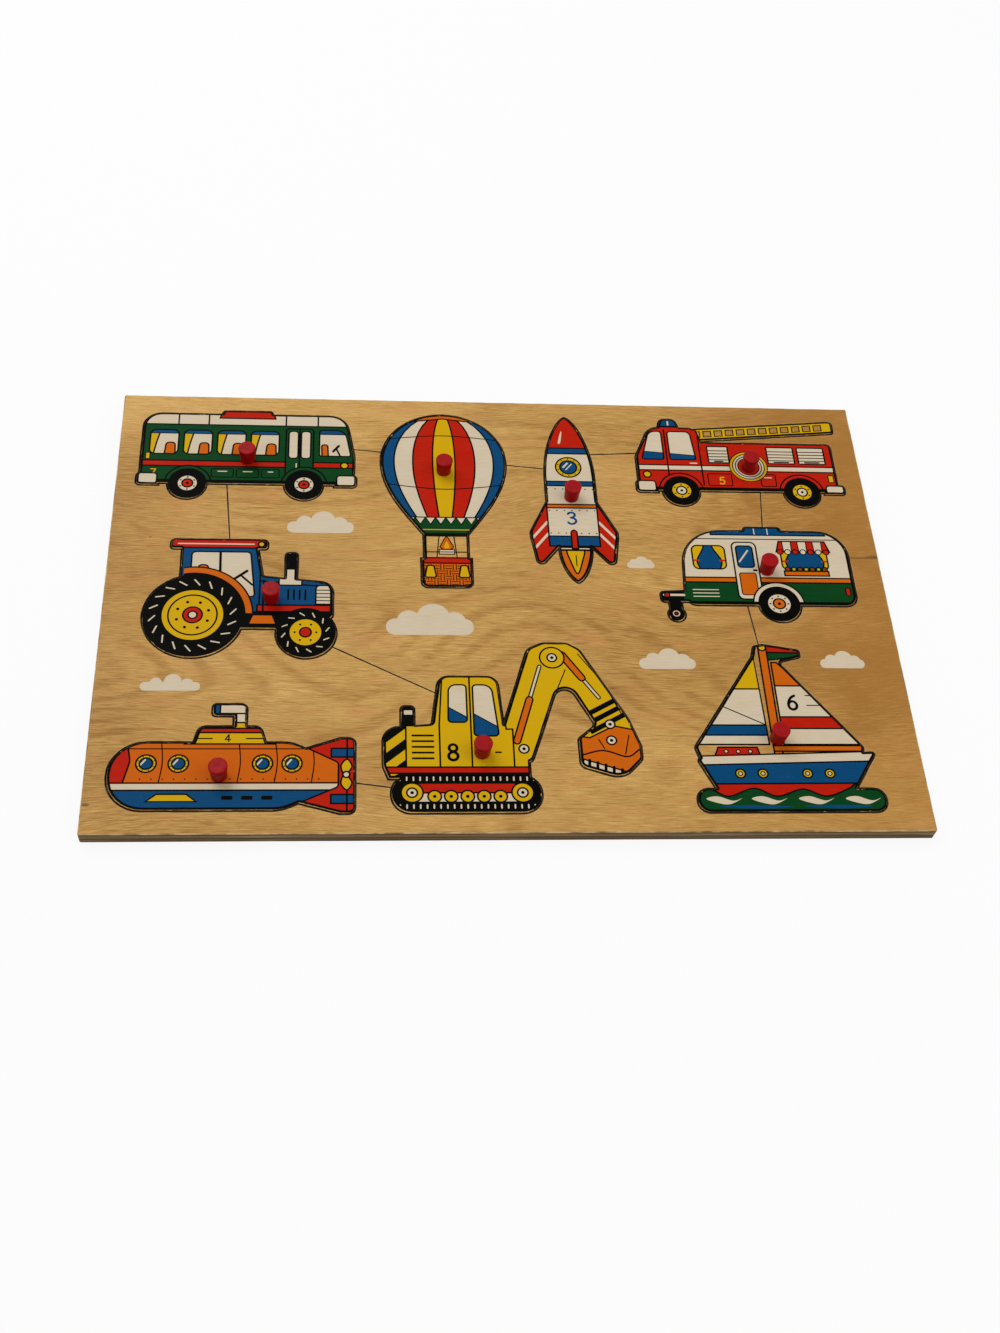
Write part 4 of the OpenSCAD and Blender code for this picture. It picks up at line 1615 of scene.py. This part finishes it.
@dataclass
class Balloon(Shape):
    """A hot-air balloon with its basket."""

    waist: float = 710
    mouth: float = 290
    mouth_width: float = 24.0
    skirt: float = 385
    basket_top: float = 19.0
    # The width and height of one square of the basket's weave
    weave: Place = (48, 28.5)

    def half(self, levels: np.ndarray) -> np.ndarray:
        """Half the balloon's width at each level.

        Above the waist it is an ellipse, below it a quarter of a cosine down to the mouth.

        Args:
            levels: Heights in thousandths of the picture's.

        Returns:
            The half widths in millimetres.
        """
        width = self.art.size[0]
        above = np.clip((levels - self.waist) / (PARTS - self.waist), 0, 1)
        below = np.clip((self.waist - levels) / (self.waist - self.mouth), 0, 1)
        taper = self.mouth_width + (width - self.mouth_width) * np.cos(below * TURN / 4)
        return np.where(levels > self.waist, width * np.sqrt(1 - above**2), taper) / 2

    def meridian(self, share: float) -> Points:
        """One of the envelope's seams.

        Args:
            share: How far it lies from the middle, as a share of the half width.

        Returns:
            Its places on the board, from the mouth up.
        """
        width, height = self.art.size
        levels = np.concatenate([np.linspace(self.mouth, 930, 18), [960, 980, 995]])
        across = width / 2 + share * self.half(levels)
        return self.art.corner + np.stack([across, levels / PARTS * height], axis=1)

    def draw(self) -> None:
        """Gores, crown, skirt, ropes, burner and wicker basket."""
        art = self.art
        mouth, skirt = self.mouth, self.skirt
        art.flood(BARE)
        art.box(BLUE, f"-100,{mouth} 1100,1100", NO_LINE)
        for share, ink in ((0.8, WHITE), (0.5, RED), (0.18, YELLOW)):
            right, left = self.meridian(share), self.meridian(-share)
            art.coat(ink, np.concatenate([right, left[::-1]]))
            art.line(right)
            art.line(left)
        for y, dip in ((860, 20), (560, -22)):
            art.line(f"-20,{y - dip} 250,{y} 500,{y + dip / 2} 750,{y} 1020,{y - dip}", FINE,
                     smooth=True)
        art.patch(ORANGE, "240,955 500,975 760,955 800,1100 200,1100")
        art.box(GREEN, f"0,{mouth - 10} 1000,{skirt}")
        for x in range(220, 781, 80):
            art.patch(WHITE, f"{x - 40},{skirt} {x},{skirt - 40} {x + 40},{skirt}", FINE)
        art.line(f"0,{mouth + 25} 1000,{mouth + 25}", FINE, YELLOW)
        art.line(f"200,{mouth} 800,{mouth}", 1.3)
        for low, high in ((420, 444), (580, 556)):
            art.line(f"{low},150 {high},{mouth}", FINE)
        art.blob(ORANGE, "450,215 465,240 500,275 535,240 550,215 500,200", FINE)
        art.blob(YELLOW, "480,215 500,248 520,215", NO_LINE)
        art.box(WHITE, "440,178 560,203", FINE)
        art.line("300,190 700,190", FINE)
        top = self.basket_top / art.size[1] * PARTS
        with art.inside(art.box(ORANGE, f"280,-100 720,{top}")):
            self._wicker()
        art.box(RED, f"280,{top - 28} 720,{top + 2}")
        for x in (370, 630):
            art.at(x).patch(YELLOW, "-45,50,10 45,50,10 25,115,10 -25,115,10")

    def _wicker(self) -> None:
        """Squares with two canes each, which lie and stand by turns."""
        art = self.art
        width, height = self.weave
        for number in range(36):
            row, column = divmod(number, 9)
            square = art.at(292 + width * column, 6 + height * row)
            for step in (0.25, 0.75):
                if (row + column) % 2:
                    square.line(f"0,{height * step} {width},{height * step}", 0.5)
                else:
                    square.line(f"{width * step},0 {width * step},{height}", 0.5)


@dataclass
class Rocket(Shape):
    """A toy rocket that climbs on its flame."""

    body_width: float = 28.0
    flame_top: float = 203.4
    shoulder: float = 600
    sharpness: float = 1.4

    def hull(self) -> Points:
        """The body with its nose, which narrows by a power of the cosine.

        Returns:
            Its places on the board, anticlockwise.
        """
        width, height = self.art.size
        half = self.body_width / 2
        angles = np.radians(np.arange(0, 88, 6))
        levels = self.shoulder + (PARTS - self.shoulder) * np.sin(angles)
        right = np.stack([half * np.cos(angles) ** self.sharpness, levels], axis=1)
        foot = [(-half, self.flame_top), (half, self.flame_top)]
        hull = np.concatenate([foot, right, right[::-1] * [-1, 1]])
        return self.art.corner + hull * [1, height / PARTS] + [width / 2, 0]

    def draw(self) -> None:
        """Fins, body with bands, rivets, porthole and a digit, nose, nozzle and flame."""
        art = self.art
        art.flood(RED)
        for outer, inner in ((0, 200), (1000, 800)):
            for y in (170, 240):
                art.line(f"{outer},{y} {inner},{y + 105}", 1.5, WHITE)
        art.box(ORANGE, "300,-100 700,220", NO_LINE)
        art.blob(YELLOW, "400,185 430,120 500,45 570,120 600,185 500,210")
        art.line("500,150 500,90", FINE)
        with art.inside(art.patch(WHITE, self.hull())):
            for ink, low, high in ((RED, 800, 1100), (BLUE, 765, 800), (BLUE, 565, 592),
                                   (ORANGE, 430, 452), (BLUE, 180, 262)):
                art.box(ink, f"0,{low} 1000,{high}")
            for x in range(235, 764, 88):
                for y in (545, 415, 280):
                    art.dot(f"{x},{y}", 0.42)
            art.blob(WHITE, "400,835 440,900 455,900 430,835", NO_LINE)
        nozzle = art.at(0, self.flame_top)
        nozzle.box(BLACK, "300,-28 700,0", NO_LINE)
        nozzle.line("340,-14 660,-14", 0.7, WHITE)
        centre = "500,680"
        art.disc(YELLOW, centre, 7.2)
        art.studs(centre, 6.1, 10, 18, 0.42)
        with art.inside(art.disc(BLUE, centre, 4.8)):
            art.line("440,680 490,705", 1.1, WHITE)
            art.line("470,665 540,700", 0.7, WHITE)
        art.digit("3", "440,335", 8.0, BLUE)
        art.patch(RED, "465,190 535,190 535,300,20 465,300,20")


@dataclass
class Digger(Shape):
    """A tracked excavator whose arm reaches to the right."""

    def draw(self) -> None:
        """House with cab, louvres and hazard stripes, arm with its cylinders, bucket, tracks."""
        art = self.art
        art.flood(YELLOW)
        self._arm()
        self._house()
        self._track()

    def _arm(self) -> None:
        """Boom, stick, hydraulic cylinders, pivots and the bucket with its teeth."""
        art = self.art
        art.line("615,440 660,620 725,830", FINE, smooth=True)
        art.line("780,930 870,750 935,560", FINE, smooth=True)
        for number in range(3):
            stripe = art.at(862 + 14 * number, 605 - 45 * number)
            stripe.patch(BLACK, "-90,-50 -80,-75 80,45 70,70", NO_LINE)
        for low, middle, high in (("515,400", "573.85,647.5", "622,850"),
                                  ("715,925", "789.25,779.25", "850,660")):
            art.line(f"{low} {high}", 2.5)
            art.line(f"{low} {high}", 1.1, WHITE)
            art.line(f"{low} {middle}", 4.4)
            art.line(f"{low} {middle}", 2.7, ORANGE)
        art.disc(YELLOW, "675,905", 6.4)
        art.patch(ORANGE, "700,100 1100,100 1100,430 900,490 800,420 700,440")
        art.line("765,320 850,345 940,310 990,350", smooth=True)
        art.line("835,410 855,355", FINE)
        art.line("935,325 955,435", FINE)
        art.patch(WHITE, "760,250 925,165 935,222 770,295")
        for number in range(5):
            art.at(792 + 31 * number, 290 - 13.5 * number).line("0,0 -4,-70", 1.5)
        for centre in ("540,355", "675,905", "885,500", "885,405"):
            art.disc(WHITE, centre, 2.5)
            art.dot(centre, 0.9)

    def _house(self) -> None:
        """Engine cover, counterweight, cab, windows and the turntable."""
        art = self.art
        art.patch(YELLOW, "-100,245 500,245 500,470 475,470 450,850 200,850 190,500 -100,500")
        with art.inside(art.box(YELLOW, "-100,245 85,600")):
            for y in range(120, 601, 120):
                art.at(0, y).patch(BLACK, "-20,0 90,120 90,180 -20,60", NO_LINE)
        art.box(BLACK, "50,485 140,630", NO_LINE)
        art.box(WHITE, "30,555 200,580", NO_LINE)
        for y in range(300, 433, 33):
            art.line(f"110,{y} 190,{y}", 1.1)
        art.line("215,245 215,500 230,780")
        rear = art.patch(WHITE, "250,510,20 325,510,20 325,735,20 255,735,40")
        front = art.patch(WHITE, "350,430,20 447,430,20 425,735,50 350,735,20")
        for pane, x, y in ((rear, 240, 610), (front, 340, 570)):
            with art.inside(pane):
                art.patch(BLUE, f"{x},400 {x + 120},400 {x + 120},{y - 100} {x},{y}", FINE)
        art.line("338,250 338,780")
        art.line("430,335 450,335", 0.9)
        art.line("350,785 380,785", 0.9)
        art.box(RED, "-100,215 560,250")
        art.digit("8", "245,290", 9.0, BLACK)

    def _track(self) -> None:
        """A belt with cleats round two sprockets and the rollers between them."""
        art = self.art
        art.box(BLACK, "0,-100 620,215,100", NO_LINE)
        for number in range(21):
            for ends in ("0,193 0,175", "0,20 0,38"):
                art.at(60 + 25.5 * number).line(ends, 0.8, WHITE)
        art.box(WHITE, "65,52 565,160,54")
        art.box(RED, "130,105 500,160")
        for centre in ("105,106", "525,106"):
            art.disc(YELLOW, centre, 5.4)
            art.disc(WHITE, centre, 2.6)
            art.dot(centre, 0.9)
        for number in range(5):
            centre = f"{190 + 62.5 * number},85"
            art.disc(YELLOW, centre, 3.3)
            art.dot(centre, 0.9)


@dataclass
class FireEngine(Shape):
    """A ladder fire engine that drives to the left."""

    wheel: Wheel = Wheel(10.5, 5.8, YELLOW, 2.9, WHITE, 6, 12.6, RED)
    axles: Place = (210, 790)

    def draw(self) -> None:
        """Cab, beacon, lockers, hose reel, ladder, bumpers and wheels."""
        art = self.art
        art.flood(RED)
        self._ladder()
        art.box(BLUE, "0,910 260,1100")
        art.line("185,930 185,970", 0.9, WHITE)
        art.patch(RED, "-100,100 1100,100 1100,740 335,740 310,905 0,905")
        art.box(BLACK, "-100,-100 1100,205", NO_LINE)
        art.box(WHITE, "-100,395 1100,455")
        front = art.patch(WHITE, "38,520,20 145,520,20 145,850,30 85,850,80")
        side = art.patch(WHITE, "175,520,20 300,520,20 285,850,50 175,850,30")
        for pane in (front, side):
            with art.inside(pane):
                art.patch(BLUE, "0,450 350,450 350,560 0,620", FINE)
        art.line("160,230 160,870")
        art.line("322,230 322,800")
        art.line("270,480 300,480", 0.9, WHITE)
        for left, right in ((360, 460), (650, 780), (800, 930)):
            with art.inside(art.box(WHITE, f"{left},490 {right},680,10")):
                for y in (525, 560, 595, 630):
                    art.line(f"{left},{y} {right},{y}", FINE)
            art.line(f"{left + 30},507 {right - 30},507", 0.9)
        for left, right in ((345, 460), (600, 672)):
            art.box(RED, f"{left},225 {right},360,15", FINE)
        art.line("620,325 652,325", 0.8, WHITE)
        for radius, ink in ((11.0, YELLOW), (9.2, WHITE), (7.6, WHITE), (6.2, RED)):
            art.disc(ink, "550,450", radius, FINE)
        art.digit("5", "400,245", 4.8, YELLOW)
        art.disc(YELLOW, "55,345", 2.2)
        art.box(YELLOW, "930,280 955,360,10", FINE)
        art.box(WHITE, "-100,155 90,270,30")
        art.box(WHITE, "910,155 1100,240,30")
        for x in self.axles:
            self.wheel.draw(art, x)

    def _ladder(self) -> None:
        """Two rails with rungs between them, rising to the right."""
        art = self.art
        art.patch(YELLOW, "270,740 1100,882 1100,1100 970,1020 270,880")
        for step in (np.arange(12) + 0.5) / 13.2:
            gap = art.at(270 + 730 * step, 740 + 125 * step)
            gap.patch(BARE, "0,37.8 37.96,44.3 37.96,110.1 0,103.6", FINE)


@dataclass
class Caravan(Shape):
    """A touring caravan whose drawbar points to the left."""

    wheel: Wheel = Wheel(11.5, 6.6, WHITE, 3.3, ORANGE, 8, 14.0, WHITE, 200)
    jockey: Wheel = Wheel(4.5, 2.4, WHITE, 1.0, RED)

    def draw(self) -> None:
        """Two-coloured body, windows with curtains, door, awning, drawbar and wheels."""
        art = self.art
        art.flood(WHITE)
        art.box(GREEN, "0,-100 1100,400")
        art.box(ORANGE, "0,400 1100,450")
        art.box(BLACK, "100,-100 1100,200", NO_LINE)
        art.line("100,865 1100,865", FINE)
        art.box(BLUE, "300,910 900,1100")
        for x in (530, 600):
            art.line(f"{x},920 {x},980", FINE, WHITE)
        for left, right in ((190, 360), (650, 890)):
            with art.inside(art.box(BLUE, f"{left},540 {right},790,50")):
                for x, way in ((left, 1), (right, -1)):
                    art.at(x).blob(YELLOW, f"{way * -30},850 {way * -30},500 {way * 30},530 "
                                           f"{way * 22},630 {way * 62},800")
                    art.at(x).line(f"0,630 {way * 30},630", 1.1, RED)
        with art.inside(art.patch(WHITE, "630,730 910,730 890,845 650,845")):
            for x in (630, 710, 790, 870):
                art.at(x).patch(RED, "0,700 40,700 36,860 3,860", FINE)
        for number in range(7):
            art.disc((RED, WHITE)[number % 2], f"{650 + 40 * number},730", 1.7, FINE)
        art.box(ORANGE, "655,475 885,525")
        for number in range(7):
            place = f"{675 + 32 * number},545"
            art.disc(GREEN, place, 1.6, FINE)
            art.disc((RED, YELLOW)[number % 2], place, 0.8, NO_LINE)
        art.box(WHITE, "400,225 525,830,50")
        with art.inside(art.box(BLUE, "420,560 505,790,30")):
            art.line("430,620 480,740", 1.0, WHITE)
        art.box(ORANGE, "420,270 505,500,20", FINE)
        art.line("498,530 512,530", 1.2)
        art.box(RED, "955,270 978,350,10", FINE)
        for y in (250, 285, 320):
            art.line(f"170,{y} 300,{y}", FINE, WHITE)
        art.box(BLACK, "-100,100 120,330", NO_LINE)
        art.line("20,262 120,262", 1.5, WHITE)
        art.disc(RED, "35,262", 1.5, FINE)
        self.jockey.draw(art, 70)
        self.wheel.draw(art, 600)


@dataclass
class Sailboat(Shape):
    """A sailing boat on waves, heading to the right."""

    def draw(self) -> None:
        """Sails, mast, pennant, cabin, hull and the water with its crests."""
        art = self.art
        art.flood(BARE)
        art.patch(RED, "470,900 700,925 700,965 470,1000")
        art.patch(GREEN, "470,900 700,925 700,947 470,950")
        with art.inside(art.patch(WHITE, "500,385 960,385 530,885 500,885")):
            art.box(RED, "480,480 1000,550")
            art.box(ORANGE, "480,740 1000,950")
            for y in (620, 680):
                art.line(f"660,{y} 900,{y}", FINE)
        with art.inside(art.patch(WHITE, "0,385 420,385 405,930")):
            art.box(BLUE, "-100,440 500,500")
            art.box(YELLOW, "200,720 500,950")
            art.line("420,500 180,620", FINE)
        art.digit("6", "555,595", 8.6, BLACK)
        art.patch(RED, "100,280 370,280 350,368 140,368")
        for x in (180, 245, 310):
            art.disc(WHITE, f"{x},344", 1.0, FINE)
        art.box(ORANGE, "440,250 485,975")
        art.box(ORANGE, "440,345 960,378")
        art.disc(YELLOW, "462.5,980", 2.0)
        with art.inside(art.patch(BLUE, "100,50 850,50 1020,345 -20,315")):
            art.patch(WHITE, "-100,262 1100,290 1100,400 -100,400")
            art.patch(RED, "-100,50 1100,50 1100,160 -100,155")
        for x in (240, 360, 600, 720):
            art.disc(YELLOW, f"{x},215", 2.5)
            art.disc(WHITE, f"{x},215", 1.1, FINE)
        self._water()

    def _water(self) -> None:
        """The waves with their white crests and blue troughs."""
        art = self.art
        crests = smoothed(art.place("-100,100 60,125 160,85 300,130 420,85 560,125 680,85 "
                                    "800,125 880,165 1100,180"))
        art.coat(GREEN, np.concatenate([crests, art.place("1100,-200 -100,-200")]))
        art.pen(crests, LINE / 2)
        for x in (40, 280, 530, 780):
            art.at(x).blob(WHITE, "0,72 60,85 140,60 190,75 120,40 50,50", NO_LINE)
        art.blob(BLUE, "100,28 300,35 500,25 300,15", NO_LINE)
        art.blob(BLUE, "550,30 750,35 920,28 750,15", NO_LINE)


@dataclass
class Board:
    """The frame with its openings, the backing under it and the clouds printed on the frame."""

    opening_ease: float = 0.14
    opening_wear: float = 0.05
    outer_wear: float = 3.6
    back_ease: float = 0.1
    back_wear: float = 0.03
    back_foot_ease: float = 0.35
    # Middle, width and height of each cloud
    clouds: tuple[tuple[float, ...], ...] = (
        (-40, -14, 46, 20), (-98, 50, 36, 15), (84, -38, 30, 13), (178, -38, 24, 11),
        (-172, -54, 30, 10), (76, 25, 15, 8))
    # Place and radius of a cloud's heaps, as shares of its width and height
    heaps: tuple[Lengths, ...] = ((-0.24, -0.02, 0.3), (0.04, 0.06, 0.44), (0.28, -0.06, 0.3))

    def build(self, finishes: Finishes) -> None:
        """Makes the frame, the backing and the clouds.

        Args:
            finishes: The materials.
        """
        front = Plate("frame_board", self.opening_ease, self.opening_wear, self.outer_wear)
        front.piece("frame_plate", "board", "veneer", finishes.plate(finishes.rim))
        self._clouds(front.top, finishes)
        back = Plate("backing_board", self.back_ease, self.back_wear,
                     foot_ease=self.back_foot_ease)
        back.piece("backing_plate", "board", "backing",
                   [finishes.back, finishes.edge, finishes.edge, finishes.back])

    def _clouds(self, height: float, finishes: Finishes) -> None:
        """Prints flat-bottomed clouds, each a low box with three round heaps on it.

        Args:
            height: The height of the frame's face.
            finishes: The materials.
        """
        art = Artwork(np.zeros(2), np.full(2, PARTS))
        for x, y, width, depth in self.clouds:
            cloud = art.at(x, y)
            cloud.box(WHITE, f"{-width / 2},{-depth / 2} {width / 2},{depth * 0.02},"
                             f"{depth * 0.24}", NO_LINE)
            for share, rise, radius in self.heaps:
                cloud.disc(WHITE, f"{share * width},{rise * depth}", radius * depth, NO_LINE)
        sheet = art.place("-300,-300 300,-300 300,300 -300,300")
        art.print_on("cloud", "board", "veneer", height, finishes, [sheet])


@dataclass
class Studio:
    """The floor, the light and the camera."""

    camera_place: Lengths = (-80.7, -497.0, 699.6)
    camera_way: Lengths = (0.092, 0.5461, -0.8327)
    camera_right: Lengths = (0.9957, -0.0463, 0.0797)
    # The photograph's height and the lens's focal length, in its pixels
    photo_height: float = 1333.0
    focal_length: float = 1603.0
    sensor_height: float = 24.0
    floor_size: float = 4000.0
    floor_drop: float = 0.2
    floor_grey: float = 0.75
    # How much of its own white the floor shows where it is seen
    floor_glow: float = 0.9
    sky_light: float = 0.55

    def build(self) -> None:
        """Sets up the floor, the world, the lamps, the camera and the view."""
        self._floor()
        self._world()
        self._lamp("key", (-750, 950, 1500), 1300, 19.0)
        self._lamp("fill", (900, -200, 1000), 1100, 5.0)
        self._camera()
        bpy.context.scene.view_settings.view_transform = "Standard"

    def _floor(self) -> None:
        """A pale floor that looks white to the camera but keeps the object's shadow."""
        mesh = bpy.data.meshes.new("floor")
        corners = np.array([(-1, -1), (1, -1), (1, 1), (-1, 1)]) * self.floor_size / 2
        mesh.from_pydata((at_height(corners, -self.floor_drop) * MM).tolist(), [], [(0, 1, 2, 3)])
        graph = Graph("studio floor")
        grey, white = (self.floor_grey,) * 3 + (1,), (1, 1, 1, 1)
        paint = graph.node("ShaderNodeBsdfDiffuse", {}, {"Color": grey})
        glow = graph.node("ShaderNodeEmission", {}, {"Color": white, "Strength": 1.0})
        inputs = {0: graph.seen_directly() * self.floor_glow, 1: paint.outputs[0],
                  2: glow.outputs[0]}
        shader = graph.node("ShaderNodeMixShader", {}, inputs)
        graph.node("ShaderNodeOutputMaterial", {}, {"Surface": shader.outputs[0]})
        mesh.materials.append(graph.material)
        floor = stood("floor", mesh)

    def _world(self) -> None:
        """An even pale sky, which looks white wherever it is seen."""
        world = bpy.data.worlds.new("studio")
        graph = Graph("studio", world)
        strength = graph.seen_directly() * (1 - self.sky_light) + self.sky_light
        inputs = {"Color": (1, 1, 1, 1), "Strength": strength}
        sky = graph.node("ShaderNodeBackground", {}, inputs)
        graph.node("ShaderNodeOutputWorld", {}, {"Surface": sky.outputs[0]})
        bpy.context.scene.world = world

    def _lamp(self, name: str, place: Lengths, size: float, power: float) -> None:
        """Hangs a square lamp up, facing the board's middle.

        Args:
            name: The lamp's name.
            place: Where it hangs, in millimetres.
            size: The length of its sides.
            power: Its power in watts.
        """
        lamp = bpy.data.lights.new(name, "AREA")
        lamp.size = size * MM
        lamp.energy = power
        hung = stood(name, lamp)
        hung.location = Vector(place) * MM
        hung.rotation_euler = (-Vector(place)).to_track_quat("-Z", "Y").to_euler()

    def _camera(self) -> None:
        """Puts the camera where the photograph was taken from."""
        lens = bpy.data.cameras.new("camera")
        lens.sensor_fit = "VERTICAL"
        lens.sensor_height = self.sensor_height
        lens.lens = self.focal_length / self.photo_height * self.sensor_height
        way = Vector(self.camera_way).normalized()
        right = Vector(self.camera_right).normalized()
        turn = Matrix((right, right.cross(way), -way)).transposed()
        camera = stood("camera", lens)
        camera.matrix_world = Matrix.LocRotScale(Vector(self.camera_place) * MM, turn, None)
        bpy.context.scene.camera = camera


SHAPES: tuple[Shape, ...] = (
    Bus("bus", "green_print", (0.2, 0.6)),
    Tractor("tractor", "blue_print", (-0.3, 0.7)),
    Submarine("submarine", "orange_print", (0.4, 0.5)),
    Balloon("balloon", "yellow_print", (0.3, 0.4)),
    Rocket("rocket", "white_print", (-0.2, 0.5)),
    Digger("digger", "yellow_print", (0.35, 0.7)),
    FireEngine("fire_engine", "red_print", (0.25, 0.65)),
    Caravan("caravan", "white_print", (-0.3, 0.55)),
    Sailboat("sailboat", "blue_print", (0.3, 0.35)))


def main() -> None:
    """Builds the studio, the board and the nine shapes."""
    logging.basicConfig(level=logging.INFO, format="%(message)s")
    Studio().build()
    finishes = Finishes()
    Board().build(finishes)
    for shape in SHAPES:
        shape.build(finishes)


if __name__ == "__main__":
    main()
